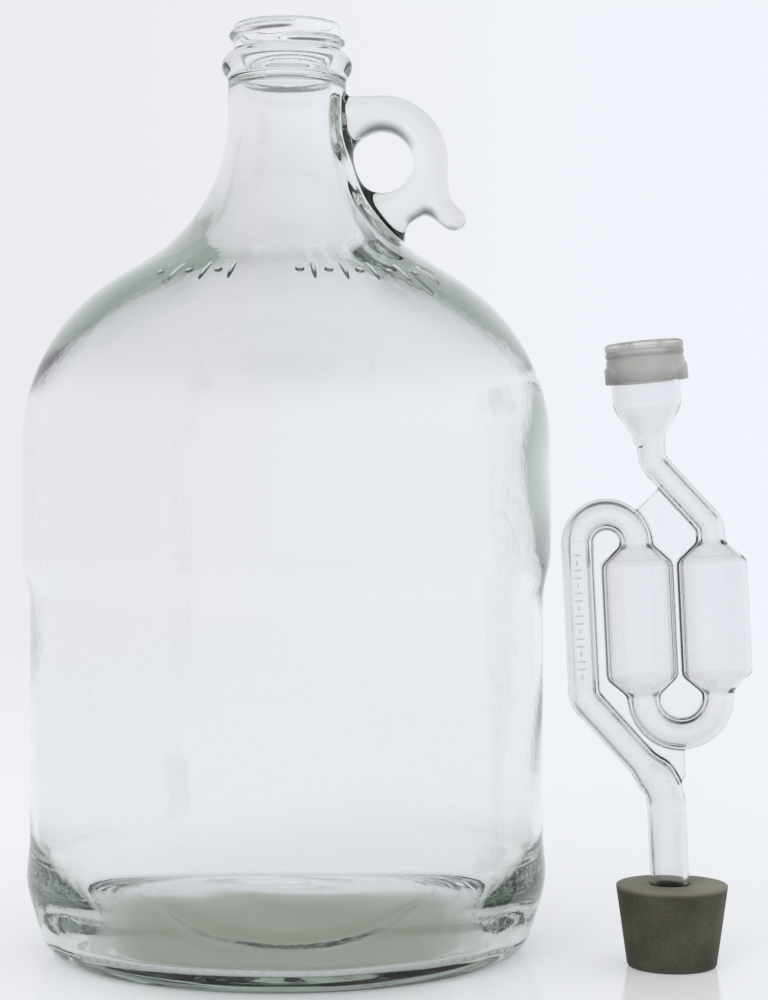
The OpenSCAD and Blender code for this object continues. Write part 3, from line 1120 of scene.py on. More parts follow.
    def field(self, points: np.ndarray) -> np.ndarray:
        """Signed distance to the glass from the neck's foot up.

        Args:
            points: Points on the jug's own axis.

        Returns:
            The distances, below zero in the glass.
        """
        radius = np.hypot(points[:, 0], points[:, 1])
        turn = np.arctan2(points[:, 1], points[:, 0])
        z = points[:, 2]
        neck, slope = self.outer(z)
        glass = (radius - neck) / np.sqrt(1.0 + slope ** 2)
        bead_z = self.height - self.bead_drop
        glass = np.maximum(glass, z - bead_z)
        loop = self.loop.field(points, self.height - self.loop.down)
        glass = blend_union(glass, loop, self.loop_soft)
        middle = (self.height + bead_z) / 2
        mouth = rounded_slab(radius - self.mouth_r, z - middle, self.height - middle, self.lip_r)
        glass = blend_union(glass, mouth, self.mouth_soft)
        core = self.neck_r - 1.0
        across = self.bead_r - core
        bead = np.hypot((radius - core) / across, (z - bead_z) / self.bead_half) - 1.0
        glass = blend_union(glass, bead * across, self.bead_soft)
        glass = blend_union(glass, self.thread.field(points, self.height), self.thread_soft)
        return blend_cut(glass, radius - self.inner(z, turn), self.bore_soft)

    def seam_at(self, radius: float) -> float:
        """How far the two faint mould seams stand out under the base, at a radius."""
        return self.seam * sum(math.exp(-((radius - at) / self.seam_half) ** 2) for at in self.seams)

    def bead(self, z: float) -> float:
        """How far the wall swells below the label panel, at a height."""
        off = abs(z - self.label_low + self.swell_drop)
        return self.heel_bead * ease(self.swell_half - off, 0.0, self.swell_half)

    def dome(self, top: float, end: float, steps: int) -> list[tuple[float, float]]:
        """Profile of the push-up.

        Args:
            top: Height of its middle.
            end: Radius where the profile ends.
            steps: Points of the profile.

        Returns:
            Radius and height of each ring, from the middle.
        """
        centre = top - self.dome_r
        return [(r, centre + math.sqrt(self.dome_r ** 2 - r ** 2)) for r in np.linspace(0.0, end, steps)]

    def upright_wall(self, inset: float, start: float) -> list[tuple[float, float]]:
        """Profile of the label panel, the soft step above it and the wall up to the shoulder.

        Args:
            inset: How far inside the outer surface it stands.
            start: Height where it starts.

        Returns:
            Radius and height of each ring.
        """
        label_r, body_r = self.label_r - inset, self.body_r - inset
        step_end = self.label_high + self.label_step
        label = [(label_r, z) for z in np.linspace(start, self.label_high - 3, 12)]
        step = [
            (label_r + (body_r - label_r) * (0.5 - 0.5 * math.cos(math.pi * share)),
             self.label_high + self.label_step * share)
            for share in np.arange(1, 21) / 20
        ]
        return label + step + [(body_r, z) for z in np.linspace(step_end + 5, self.shoulder_z, 6)]

    def outer_profile(self) -> list[tuple[float, float]]:
        """Outside of the body, from the middle of the base up to the neck's foot."""
        angle = math.radians(self.heel_taper)
        bulge = self.heel_taper_r - self.heel_r
        bulge_x = self.label_r - self.heel_taper_r
        heel_top = self.heel_r + bulge * math.sin(angle)
        corner_x = bulge_x + bulge * math.cos(angle)
        under = self.dome(self.push_up, self.inner_ring, 80)
        under = [(r, z + self.ring_lift - self.seam_at(r)) for r, z in under]
        ring = [(r, self.ring_lift) for r in (self.inner_ring + 1.2, self.ring_r, corner_x)]
        heel = arc(corner_x, self.heel_r, self.heel_r, -84, -self.heel_taper, 10)
        heel = [(r, max(z, self.ring_lift)) for r, z in heel]
        taper = []
        for z in np.linspace(heel[-1][1] + 1.0, self.label_low + 3.0, 26):
            below = max(heel_top - z, 0.0)
            taper.append((bulge_x + math.sqrt(self.heel_taper_r ** 2 - below ** 2) + self.bead(z), z))
        arch_end = math.asin((self.turn_z - self.shoulder_z) / self.shoulder_r)
        heights = np.concatenate([
            self.shoulder_z + self.shoulder_r * np.sin(np.linspace(0.04, 1.0, 30) * arch_end),
            np.linspace(self.turn_z, self.join_z - 0.9, 12)[1:],
        ])
        upper = list(zip(self.outer(heights)[0], heights))
        return under + ring + heel + taper + self.upright_wall(0.0, self.label_low + 6.0) + upper

    def inner_profile(self) -> list[tuple[float, float]]:
        """Inside of the body, from the middle of the floor up to the shoulder."""
        floor = self.dome(self.push_up + self.base_wall, self.floor_r, 36)
        turn = math.asin(self.floor_r / self.dome_r)
        centre_x = self.floor_r - self.floor_corner_r * math.sin(turn)
        centre_z = floor[-1][1] + self.floor_corner_r * math.cos(turn)
        start = math.degrees(turn) - 90.0 + self.corner_skip
        corner = arc(centre_x, centre_z, self.floor_corner_r, start, self.corner_end, 12)
        low_r, low_z = corner[-1]
        rise, spread = self.label_low + 4.0 - low_z, self.label_r - self.wall - low_r
        heel = []
        for share in np.linspace(0.0, 1.0, 22)[1:]:
            z = low_z + rise * float(share)
            swing = math.sin(math.pi / 2 * share ** self.heel_power)
            heel.append((low_r + spread * swing + self.bead(z), z))
        return floor + corner + heel + self.upright_wall(self.wall, self.label_low + 8.0)

    def build(self) -> list[bpy.types.Object]:
        """Builds the jug and the small marks moulded on it."""
        glass = self.finish.material()
        skin = self.skin()
        skin.points = skin.points + np.array([self.axis_x, 0.0, 0.0])
        jug = skin.piece("jug_glass", glass)
        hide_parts("glass_jug")
        return [jug, self.marks().piece("jug_raised_marks", glass)]

    def outside(self) -> Skin:
        """Outside of the body up to the neck's foot."""
        return revolve(spin(self.outer_profile(), self.around), closed_start=True)

    def inside(self) -> Skin:
        """Inside of the body up to the neck's foot, uneven and facing inwards."""
        turns = full_turn(self.around)
        even = spin(self.inner_profile(), self.around)
        radius, z = np.hypot(even[..., 0], even[..., 1]), even[..., 2]
        z = z + self.blown.floor(radius, z, turns)
        radius = radius + self.blown.wall(z, turns) * (radius > 1.0)
        heights = np.array([z for _, z in self.outer_profile() if z > self.shoulder_z + 1.0])[:, None]
        upper = upright(self.inner(heights, turns), turns, heights * np.ones(self.around))
        skin = revolve(np.concatenate([upright(radius, turns, z), upper]), closed_start=True)
        skin.faces = [f[::-1] for f in skin.faces]
        return skin

    def skin(self) -> Skin:
        """The whole jug about its own axis: body, moulded neck and the two seams between them."""
        low = (-self.neck_reach, -self.neck_reach, self.join_z)
        high = (self.loop_reach, self.neck_reach, self.height + 1.0)
        neck = Mould(self.field, low, high, self.grid_step).skin()
        skin, ends = neck, []
        for part in (self.outside(), self.inside()):
            skin = skin.join(part)
            ends.append(np.arange(len(skin.points) - self.around, len(skin.points)))
        radius = np.hypot(*neck.points[neck.rim, :2].T)
        is_outer = radius > float(self.outer(np.array([self.join_z]))[0][0]) - 2.0
        centre = np.zeros(2)
        skin.faces += zip_rings(skin.points, ends[0], neck.rim[is_outer], centre)
        skin.faces += [f[::-1] for f in zip_rings(skin.points, ends[1], neck.rim[~is_outer], centre)]
        return skin

    def marks(self) -> Marks:
        """Ribs under the resting ring, and two plain groups of marks on the shoulder's front."""
        places, turns, sizes = [], [], []
        for a in full_turn(self.ribs):
            places.append(self.on_wall(self.ring_r, a, self.ring_lift + self.rib_sink))
            turns.append((0.0, 0.0, a))
            sizes.append((self.rib_long, self.rib_wide, 2 * (self.ring_lift + self.rib_sink)))
        radius, slope = (float(value[0]) for value in self.outer(np.array([self.mark_z])))
        for i, across in enumerate(self.mark_across):
            a = math.asin(across / radius) - math.pi / 2
            places.append(self.on_wall(radius, a, self.mark_z))
            turns.append((0.0, math.atan(slope), a))
            sizes.append(self.stroke if i % 2 else self.dot)
        return Marks(places, turns, sizes)

    def on_wall(self, radius: float, turn: float, z: float) -> tuple[float, float, float]:
        """Point at a radius and angle round the jug's axis, in the model's frame."""
        return self.axis_x + radius * math.cos(turn), radius * math.sin(turn), z


@dataclass
class TubeRun:
    """A stretch of tube about a straight line in the parting plane, of radius given along it."""

    start: tuple[float, float]
    end: tuple[float, float]
    at: list[float]
    outer: list[float]
    inner: list[float]
    soft: float = 0.0

    def radii(self, t: np.ndarray, radii: list[float]) -> np.ndarray:
        """Radius along the run, with its corners rounded.

        Args:
            t: Distances along the run.
            radii: Radius at each of the run's places.

        Returns:
            Radius at each distance.
        """
        if not self.soft:
            return np.interp(t, self.at, radii)
        shifts = np.linspace(-self.soft, self.soft, 7)
        return sum(np.interp(t + s, self.at, radii) for s in shifts) / len(shifts)

    def fields(self, u: np.ndarray, v: np.ndarray, w: np.ndarray) -> tuple[np.ndarray, np.ndarray]:
        """Distances to the run's outside and to its bore.

        Args:
            u: Places to the right.
            v: Places to the back.
            w: Places up the stem.

        Returns:
            Both as signed distances.
        """
        start, end = np.array(self.start), np.array(self.end)
        length = float(np.linalg.norm(end - start))
        along = (end - start) / length
        t = (u - start[0]) * along[0] + (w - start[1]) * along[1]
        side = (u - start[0]) * along[1] - (w - start[1]) * along[0]
        past = t - np.clip(t, 0.0, length)
        far = np.sqrt(side ** 2 + v ** 2 + past ** 2)
        return far - self.radii(t, self.outer), far - self.radii(t, self.inner)


@dataclass
class TubeTurn:
    """A stretch of tube about an arc in the parting plane."""

    centre: tuple[float, float]
    r: float
    start: float
    end: float
    outer: float
    inner: float

    def fields(self, u: np.ndarray, v: np.ndarray, w: np.ndarray) -> tuple[np.ndarray, np.ndarray]:
        """Distances to the turn's outside and to its bore.

        Args:
            u: Places to the right.
            v: Places to the back.
            w: Places up the stem.

        Returns:
            Both as signed distances.
        """
        du, dw = u - self.centre[0], w - self.centre[1]
        middle = (self.start + self.end) / 2
        half = (self.end - self.start) / 2
        angle = (np.degrees(np.arctan2(dw, du)) - middle + 180.0) % 360.0 - 180.0
        held = np.radians(np.clip(angle, -half, half) + middle)
        cu, cw = self.r * np.cos(held), self.r * np.sin(held)
        far = np.sqrt((du - cu) ** 2 + (dw - cw) ** 2 + v ** 2)
        return far - self.outer, far - self.inner


@dataclass
class Airlock:
    """Twin-bubble airlock: one winding tube that swells into two chambers and a cup, with webs."""

    finish: ClearFinish
    lean: float = 2.8
    stem_r: float = 5.9
    tube_r: float = 4.6
    upper_r: float = 4.2
    wall: float = 1.5
    chamber_r: float = 10.5
    left_u: float = -5.3
    right_u: float = 17.6
    outer_u: float = -23.5
    neck_u: float = 0.75
    cup_r: float = 10.4
    half_web: float = 0.6
    stem_tip: float = 2.0
    stem_top: float = 54.1
    outer_corner: float = 82.5
    chamber_low: float = 87.2
    chamber_high: float = 123.5
    low_bend: float = 81.7
    high_bend: float = 129.3
    chamber_corner: float = 133.6
    neck_corner: float = 153.6
    cup_floor: float = 161.0
    cup_corner: float = 169.5
    cup_rim: float = 187.2
    elbow_r: float = 6.0
    stem_elbow_r: float = 13.0
    taper: float = 6.0
    chamber_soft: float = 1.0
    tube_soft: float = 0.5
    web_soft: float = 0.7
    edge: float = 0.25
    tick_from: float = 7.0
    tick_step: float = 2.3
    tick: tuple[float, float, float] = (2.6, 0.5, 0.5)
    long_tick: tuple[float, float, float] = (0.6, 0.5, 1.4)
    grid_step: float = 0.6

    def __post_init__(self) -> None:
        """Takes the stopper's place from the frame."""
        low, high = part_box("rubber_stopper")
        self.pivot = np.array([(low.x + high.x) / 2, (low.y + high.y) / 2, (low.z + high.z) / 2]) / MM

    def place(self, points: np.ndarray) -> np.ndarray:
        """Puts points of the airlock's own frame where it leans in the stopper.

        Args:
            points: Rows of u to the right, v to the back and w up the stem.

        Returns:
            The points in the model's frame.
        """
        return leaned(points - np.array([0.0, 0.0, self.pivot[2]]), self.lean) + self.pivot

    def straight(self, start: tuple, end: tuple, radius: float) -> TubeRun:
        """Plain straight tube between two points of the parting plane."""
        return TubeRun(tuple(start), tuple(end), [0.0], [radius], [radius - self.wall])

    def turn(self, centre: tuple, r: float, start: float, sweep: float, radius: float) -> TubeTurn:
        """Bent tube about a centre, from a start angle over a sweep, in degrees."""
        return TubeTurn(centre, r, start, start + sweep, radius, radius - self.wall)

    def chamber(self, u: float, high_r: float) -> TubeRun:
        """Bubble chamber between the two bends.

        Args:
            u: Where its axis stands.
            high_r: Radius of the tube above it.

        Returns:
            The chamber.
        """
        soft = self.chamber_soft
        low, high, end = (z - self.low_bend for z in (self.chamber_low, self.chamber_high, self.high_bend))
        at = [soft, low + soft, high - soft, end - soft]
        outer = [self.tube_r, self.chamber_r, self.chamber_r, high_r]
        inner = [r - self.wall for r in outer]
        return TubeRun((u, self.low_bend), (u, self.high_bend), at, outer, inner, soft)

    def cup(self) -> TubeRun:
        """Cup that the tube opens into, from its floor to past the rim where it is cut."""
        t, corner = self.wall, self.cup_corner - self.cup_floor
        outer = [4.9, 5.3, self.cup_r - 1.0, self.cup_r, self.cup_r]
        inner = [3.5, 3.8, self.cup_r - t - 0.9, self.cup_r - t, self.cup_r - t]
        at = [0.0, 1.0, corner - 1.0, corner + 1.4, 40.0]
        return TubeRun((0.0, self.cup_floor), (0.0, self.cup_rim + 20.0), at, outer, inner, soft=0.7)

    def stretches(self) -> list[TubeRun | TubeTurn]:
        """All stretches of the tube, from the stem's tip to the cup's rim."""
        t = self.wall
        lower = math.atan2(-self.outer_u, self.outer_corner - self.stem_top)
        upper = math.atan2(self.right_u - self.neck_u, self.neck_corner - self.chamber_corner)
        slant = np.array([-math.sin(lower), math.cos(lower)])
        fall = np.array([-math.sin(upper), math.cos(upper)])
        stem_cut = self.stem_elbow_r * math.tan(lower / 2)
        low_cut, high_cut = (self.elbow_r * math.tan(angle / 2) for angle in (lower, upper))
        stem_end, outer_start = self.stem_top - stem_cut, self.outer_corner + low_cut
        right_end, neck_start = self.chamber_corner - high_cut, self.neck_corner + high_cut
        slant_start = np.array([0.0, self.stem_top]) + slant * stem_cut
        slant_end = np.array([self.outer_u, self.outer_corner]) - slant * low_cut
        rise_start = np.array([self.right_u, self.chamber_corner]) + fall * high_cut
        rise_end = np.array([self.neck_u, self.neck_corner]) - fall * high_cut
        lower, upper = math.degrees(lower), math.degrees(upper)
        low_u, low_r, high_u, high_r = self.bends()
        return [
            self.straight((0.0, self.stem_tip - 8), (0.0, stem_end), self.stem_r),
            self.turn((-self.stem_elbow_r, stem_end), self.stem_elbow_r, 0.0, lower, self.stem_r),
            TubeRun(tuple(slant_start), tuple(slant_end), [0.0, self.taper],
                    [self.stem_r, self.tube_r], [self.stem_r - t, self.tube_r - t], soft=1.0),
            self.turn((self.outer_u + self.elbow_r, outer_start), self.elbow_r, 180.0, lower, self.tube_r),
            self.straight((self.outer_u, outer_start), (self.outer_u, self.high_bend), self.tube_r),
            self.turn((high_u, self.high_bend), high_r, 0.0, 180.0, self.tube_r),
            self.chamber(self.left_u, self.tube_r),
            self.turn((low_u, self.low_bend), low_r, 180.0, 180.0, self.tube_r),
            self.chamber(self.right_u, self.upper_r),
            self.straight((self.right_u, self.high_bend), (self.right_u, right_end), self.upper_r),
            self.turn((self.right_u - self.elbow_r, right_end), self.elbow_r, 0.0, upper, self.upper_r),
            self.straight(rise_start, rise_end, self.upper_r),
            self.turn((self.neck_u + self.elbow_r, neck_start), self.elbow_r, 180.0, upper, self.upper_r),
            self.straight((self.neck_u, neck_start), (self.neck_u, self.cup_floor), self.upper_r),
            self.cup(),
        ]

    def bends(self) -> tuple[float, float, float, float]:
        """Middle and radius of the low bend, and of the high one."""
        low, high = (self.left_u + self.right_u) / 2, (self.outer_u + self.left_u) / 2
        return low, (self.right_u - self.left_u) / 2, high, (self.left_u - self.outer_u) / 2

    def web_outline(self) -> list[tuple[float, float]]:
        """Outline of the flat web, from the stem up its right side and back down the left."""
        low_u, low_r, high_u, high_r = self.bends()
        return [
            (0.0, self.stem_top), (4.9, 55.5), (6.3, 57.6), (6.3, self.low_bend - low_r),
            *arc(low_u, self.low_bend, low_r, -60, 0, 3),
            (self.right_u, self.chamber_corner), (5.4, 148.0), (2.9, 145.7), (-4.7, 139.0),
            *arc(high_u, self.high_bend, high_r, 45, 180, 6),
            (self.outer_u, self.outer_corner),
        ]

    def field(self, points: np.ndarray) -> np.ndarray:
        """Signed distance to the clear plastic, in the airlock's own frame.

        Args:
            points: Rows of u, v and w.

        Returns:
            The distances, below zero in the plastic.
        """
        u, v, w = points.T
        outside = bore = None
        for stretch in self.stretches():
            shell, hollow = stretch.fields(u, v, w)
            outside = shell if outside is None else blend_union(outside, shell, self.tube_soft)
            bore = hollow if bore is None else np.minimum(bore, hollow)
        web = rounded_slab(polygon_distance(u, w, self.web_outline()), v, self.half_web, self.edge)
        solid = blend_union(outside, web, self.web_soft)
        solid = np.maximum(solid, w - self.cup_rim)
        solid = np.maximum(solid, self.stem_tip - w)
        return blend_cut(solid, bore, self.edge)

    def build(self) -> list[bpy.types.Object]:
        """Builds the airlock's clear body and its raised marks."""
        side = self.chamber_r + 1.2
        low = (self.outer_u - self.tube_r - 1.0, -side, self.stem_tip - 1.0)
        high = (self.right_u + self.chamber_r + 1.0, side, self.cup_rim + 1.0)
        skin = Mould(self.field, low, high, self.grid_step).skin()
        skin.points = self.place(skin.points)
        styrene = self.finish.material()
        body = skin.piece("airlock_body", styrene)
        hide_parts("airlock_front", "airlock_rear")
        return [body, self.marks().piece("airlock_raised_marks", styrene)]

    def marks(self) -> Marks:
        """A row of plain raised ticks up the front of the outer tube."""
        heights = np.arange(self.outer_corner + self.tick_from, self.high_bend - 1.0, self.tick_step)
        front = np.array([(self.outer_u - 0.4, 0.1 - self.tube_r, height) for height in heights])
        sizes = [self.tick if i % 3 else self.long_tick for i in range(len(heights))]
        turns = [(0.0, -math.radians(self.lean), 0.0)] * len(heights)
        return Marks(self.place(front), turns, sizes, seed=3)


@dataclass
class SnapCap:
    """Milky cap with rings round it and vents in its roof, set a little askew on the cup."""

    finish: MilkyFinish
    airlock: Airlock
    r: float = 11.9
    band_r: float = 12.6
    height: float = 12.2
    low: float = 177.7
    slack: float = 0.8
    roof: float = 2.2
    skew: float = 2.2
    vents: int = 4
    vent_out: float = 5.0
    vent_r: float = 0.7
    vent_span: tuple[float, float] = (2.0, 9.0)
    around: int = 96

    def build(self) -> list[bpy.types.Object]:
        """Builds the cap."""
        inner = self.airlock.cup_r + self.slack
        r, band, top, under = self.r, self.band_r, self.height, self.height - self.roof
        outside = [
            (inner, 0.35), (inner + 0.3, 0.0), (band - 0.3, 0.0), (band, 0.3), (band, 4.6),
            (band - 0.35, 5.1), (r, 5.4), (r, 7.0), (r - 0.35, 7.35), (r - 0.35, 7.75),
            (r, 8.1), (r, 9.2), (r - 0.25, 9.5), (r - 0.25, 9.8), (r, 10.1),
            (r, top - 0.9), (r - 0.25, top - 0.3), (r - 0.9, top), (r - 3.0, top), (4.0, top), (0.0, top),
        ]
        inside = [(0.0, under), (inner - 0.6, under), (inner, under - 0.6), (inner, 0.35)]
        shell = revolve(spin(outside, self.around), closed_end=True)
        skin = shell.join(revolve(spin(inside, self.around), closed_start=True))
        rim = np.array([0.0, 0.0, self.airlock.cup_rim])
        foot = np.array([0.0, 0.0, self.low])
        skin.points = self.airlock.place(leaned(skin.points + foot - rim, self.skew) + rim)
        cap = skin.piece("snap_cap", self.finish.material())
        self.drill(cap)
        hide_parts("airlock_cap")
        return [cap]

    def drill(self, cap: bpy.types.Object) -> None:
        """Merges the cap's rims and cuts the vent holes through its roof.

        Args:
            cap: The cap's object, whose mesh is changed.
        """
        work = bmesh.new()
        work.from_mesh(cap.data)
        bmesh.ops.remove_doubles(work, verts=work.verts, dist=0.01 * MM)
        work.to_mesh(cap.data)
        work.free()
        rim = self.airlock.cup_rim
        low, high = rim - self.vent_span[0], rim + self.vent_span[1]
        pin = spin([(0.0, low), (self.vent_r, low), (self.vent_r, high), (0.0, high)], 20)
        pins = Skin(np.empty((0, 3)))
        for a in full_turn(self.vents) + math.pi / self.vents:
            shift = np.array([self.vent_out * math.cos(a), self.vent_out * math.sin(a), 0.0])
            pins = pins.join(revolve(pin + shift, closed_start=True, closed_end=True))
        pins.points = self.airlock.place(pins.points)
        cutter = pins.piece("vent_pins", cap.data.materials[0])
        modifier = cap.modifiers.new("vents", "BOOLEAN")
        modifier.operation, modifier.object, modifier.solver = "DIFFERENCE", cutter, "EXACT"
        bake(cap)
        bpy.data.objects.remove(cutter)


@dataclass
class RubberStopper:
    """One-hole rubber stopper that stands on its small end.

    A ring of its profile has a radius, a height and the share of the airlock's lean it follows.
    """

    finish: RubberFinish
    airlock: Airlock
    top_r: float = 17.0
    low_r: float = 13.5
    height: float = 25.0
    edge: float = 0.8
    bore_r: float = 6.01
    around: int = 128

    def build(self) -> list[bpy.types.Object]:
        """Builds the stopper."""
        tilt = math.tan(math.radians(self.airlock.lean))
        e, h, top_r, low_r, bore = self.edge, self.height, self.top_r, self.low_r, self.bore_r
        foot = [(bore, 0.2, 1.0), (bore + 0.3, 0.0, 1.0), (low_r - e, 0.0, 0.0), (low_r - 0.25, 0.25, 0.0)]
        side = [(low_r + (top_r - low_r) * z / h, z, 0.0) for z in (e, 6, 12, 18, 22, h - e)]
        top = [
            (top_r - 0.1, h - 0.35, 0.0), (top_r - 0.5, h - 0.05, 0.0), (top_r - 1.2, h, 0.0),
            (top_r - 4.0, h, 0.2), (bore + 1.0, h, 0.95), (bore + 0.3, h - 0.05, 1.0), (bore, h - 0.4, 1.0),
        ]
        profile = foot + side + top + [(bore, z, 1.0) for z in (18.0, 12.0, 6.0)]
        rings = spin([(r, z) for r, z, _ in profile], self.around)
        for ring, (_, z, follow) in zip(rings, profile):
            ring[:, 0] -= (z - h / 2) * tilt * follow
        skin = revolve(rings)
        last = (len(profile) - 1) * self.around
        here = np.arange(self.around)
        after = np.roll(here, -1)
        skin.faces += list(zip(last + here, last + after, after, here))
        pivot = self.airlock.pivot
        skin.points = skin.points + np.array([pivot[0], pivot[1], 0.0])
        stopper = skin.piece("stopper_rubber_body", self.finish.material())
        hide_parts("rubber_stopper")
        return [stopper]


@dataclass
class Studio:
    """White sweep, soft light, the camera and a pale floor with a painted shadow under the jug."""

    eye: tuple[float, float, float] = (0.0011, -0.7304, 0.1467)
    pitch: float = -0.41
    lens: float = 82.8
    clip: tuple[float, float] = (0.01, 60.0)
    sweep_left: tuple[float, float, float, float] = (0.835, 0.83, 0.87, 1.0)
    sweep_right: tuple[float, float, float, float] = (0.877, 0.905, 0.956, 1.0)
    side: tuple[float, float, float, float] = (0.12, 0.13, 0.13, 1.0)
    zenith: tuple[float, float, float, float] = (0.06, 0.07, 0.065, 1.0)
    post: tuple[float, float, float, float] = (0.02, 0.025, 0.02, 1.0)
    light: tuple[float, float, float, float] = (0.99, 0.995, 1.0, 1.0)
    sweep_blend: tuple[float, float] = (-0.17, 0.17)
    sweep_edge: tuple[float, float] = (0.86, 0.945)
    horizon: tuple[float, float] = (-0.06, -0.04)
    ceiling: tuple[float, float] = (0.38, 0.65)
    post_left: tuple[float, float] = (0.2, 0.25)
    post_right: tuple[float, float] = (0.6, 0.7)
    post_back: tuple[float, float] = (0.4, 0.7)
    post_foot: tuple[float, float] = (-0.055, -0.04)
    post_top: tuple[float, float] = (0.1, 0.3)
    mirror_ceiling: tuple[float, float] = (0.25, 0.75)
    mirror_dark: float = 0.85
    floor_seen: tuple[float, float, float, float] = (0.80, 0.82, 0.85, 1.0)
    # floor_shade and the jug_shade values are a painted olive shadow under the jug: its colour, centre,
    # oval and soft edge.
    floor_shade: tuple[float, float, float, float] = (0.36, 0.385, 0.295, 1.0)
    floor_tone: tuple[float, float, float, float] = (0.95, 0.955, 0.965, 1.0)
    jug_shade_at: tuple[float, float, float] = (-0.0296, -0.022, 0.0)
    jug_shade_oval: tuple[float, float, float] = (0.64, 1.0, 1.0)
    jug_shade_edge: tuple[float, float] = (0.03, 0.047)
    pale_through: float = 0.6
    pale_seen: float = 0.35
    floor_r: float = 3.0
    floor_fade: tuple[float, float] = (0.35, 1.9)
    floor_gap: float = 0.1
    bounces: int = 20

    def camera(self) -> None:
        """Sets the camera up."""
        data = bpy.data.cameras.new("camera")
        data.lens = self.lens
        data.clip_start, data.clip_end = self.clip
        item = bpy.data.objects.new("camera", data)
        item.location = self.eye
        item.rotation_euler = (math.radians(90.0 + self.pitch), 0.0, 0.0)
        bpy.context.scene.collection.objects.link(item)
        bpy.context.scene.camera = item

    def world(self) -> None:
        """Lights the scene evenly, and shows the glass a white sweep on each side with darkness between.

        The sweeps stand across the four main directions, so that a tube's steep walls bend
        their view past a sweep's edge and turn grey. One dark post stands behind the jug's right.
        """
        world = bpy.data.worlds.new("studio")
        world.use_nodes = True
        bpy.context.scene.world = world
        graph = Graph(world.node_tree)
        direction = graph.add("ShaderNodeTexCoord", out="Generated")
        x, y, z = graph.every("ShaderNodeSeparateXYZ", "X", "Y", "Z", given={0: direction})
        camera, glossy, through = graph.every(
            "ShaderNodeLightPath", "Is Camera Ray", "Is Glossy Ray", "Is Transmission Ray"
        )
        sweep = graph.mix(x.ease(*self.sweep_blend), self.sweep_left, self.sweep_right)
        facing = x.math("MAXIMUM", abs(x), abs(y))
        past = (1.0 - facing.ease(*self.sweep_edge)) * z.ease(*self.horizon)
        seen = graph.mix(past, sweep, self.side)
        seen = graph.mix(z.ease(*self.ceiling), seen, self.zenith)
        post = x.ease(*self.post_left) * (1.0 - x.ease(*self.post_right))
        post = post * y.ease(*self.post_back) * z.ease(*self.post_foot)
        seen = graph.mix(post * (1.0 - z.ease(*self.post_top)), seen, self.post)
        mirrored = graph.mix(z.ease(*self.mirror_ceiling) * self.mirror_dark, sweep, self.zenith)
        colour = graph.mix(through, self.light, seen)
        colour = graph.mix(glossy, colour, mirrored)
        colour = graph.mix(camera, colour, sweep)
        background = graph.add("ShaderNodeBackground", None, {"Color": colour, "Strength": 1.0})
        graph.add("ShaderNodeOutputWorld", None, {"Surface": background})

    def floor(self) -> None:
        """Lays a pale, slightly glossy floor that fades out into the sweep, with a painted shadow under the
        jug.
        """
        material, graph, place = new_material("pale_floor")
        flat = graph.vector("MULTIPLY", place, (1.0, 1.0, 0.0))
        surface = graph.principled(Base_Color=self.floor_tone, Roughness=0.14, Specular_IOR_Level=0.5)
        # Painted shadow: an olive oval under the jug, mixed into the floor's pale glow, which rays through
        # the glass see fully and the camera more faintly.
        oval = graph.vector("SUBTRACT", flat, self.jug_shade_at)
        near = graph.vector("LENGTH", graph.vector("MULTIPLY", oval, self.jug_shade_oval))
        seen = graph.mix(near.ease(*self.jug_shade_edge), self.floor_shade, self.floor_seen)
        pale = graph.add("ShaderNodeEmission", None, {"Color": seen, "Strength": 1.0})
        camera, through = graph.every("ShaderNodeLightPath", "Is Camera Ray", "Is Transmission Ray")
        share = through * self.pale_through + camera * self.pale_seen
        surface = graph.add("ShaderNodeMixShader", None, {0: share, 1: surface, 2: pale})
        far = graph.vector("LENGTH", flat)
        gone = graph.add("ShaderNodeBsdfTransparent")
        blend = graph.add("ShaderNodeMixShader", None, {0: far.ease(*self.floor_fade), 1: surface, 2: gone})
        graph.add("ShaderNodeOutputMaterial", None, {"Surface": blend})
        radii = (0.0, 0.15, 0.4, 1.0, 2.0, self.floor_r)
        rings = spin([(r / MM, -self.floor_gap) for r in radii], 96)
        skin = revolve(rings, closed_start=True)
        skin.faces = [f[::-1] for f in skin.faces]
        skin.piece("floor", material)

    def lamp(self, name: str, place: tuple, size: float, power: float) -> None:
        """Adds a soft lamp that looks at the middle of the object and stays out of reflections.

        Args:
            name: The lamp's name.
            place: Where it stands, in metres.
            size: Its width, in metres.
            power: Its power, in watts.
        """
        data = bpy.data.lights.new(name, "AREA")
        data.shape = "DISK"
        data.size = size
        data.energy = power
        item = bpy.data.objects.new(name, data)
        item.location = place
        item.rotation_euler = item.location.to_track_quat("Z", "Y").to_euler()
        item.visible_glossy = False
        item.visible_transmission = False
        bpy.context.scene.collection.objects.link(item)

    def build(self) -> None:
        """Builds the whole studio, sets the plain view and lets light turn often inside thick glass."""
        self.camera()
        self.world()
        self.floor()
        self.lamp("soft_left", (-0.55, -1.15, 0.6), 0.6, 5.0)
        scene = bpy.context.scene
        scene.view_settings.view_transform = "Standard"
        scene.cycles.max_bounces = scene.cycles.transmission_bounces = self.bounces
        scene.cycles.glossy_bounces = self.bounces


GLASS = ClearFinish(
    "clear_glass", (0.986, 0.99, 0.99, 1.0), (0.71, 0.755, 0.71, 1.0), 26.0, 1.51, 0.00006, 60.0
)
STYRENE = ClearFinish(
    "clear_styrene", (0.965, 0.965, 0.965, 1.0), (0.30, 0.33, 0.36, 1.0), 30.0, 1.56, 0.00002, 150.0
)
MILKY = MilkyFinish("cap_plastic", (0.90, 0.89, 0.86, 1.0), (0.78, 0.77, 0.74, 1.0))
RUBBER = RubberFinish(
    "stopper_rubber", (0.013, 0.0125, 0.004, 1.0), (0.25, 0.24, 0.18, 1.0), 0.0232, 0.0252
)


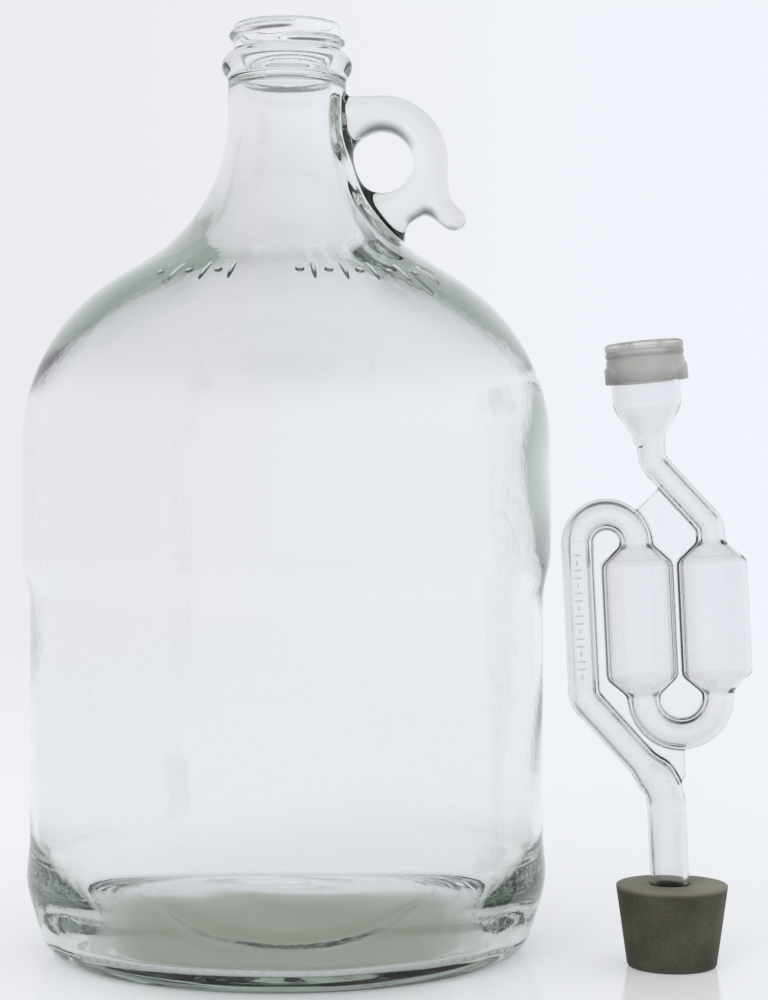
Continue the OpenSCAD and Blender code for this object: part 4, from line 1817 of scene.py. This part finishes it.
def main() -> None:
    """Builds every sub-assembly, puts it on its body and reports it."""
    logging.basicConfig(level=logging.INFO, format="%(message)s")
    Studio().build()
    airlock = Airlock(STYRENE)
    plan = [
        (GlassJug(GLASS), "jug", Slot.GLASS),
        (RubberStopper(RUBBER, airlock), "stopper", Slot.RUBBER),
        (airlock, "airlock", Slot.STYRENE),
        (SnapCap(MILKY, airlock), "cap", Slot.CAP),
    ]
    for assembly, body, slot in plan:
        for piece in assembly.build():
            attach(piece, body)
            LOG.info("%s rides on %s with %d faces", piece.name, body, len(piece.data.polygons))


if __name__ == "__main__":
    main()
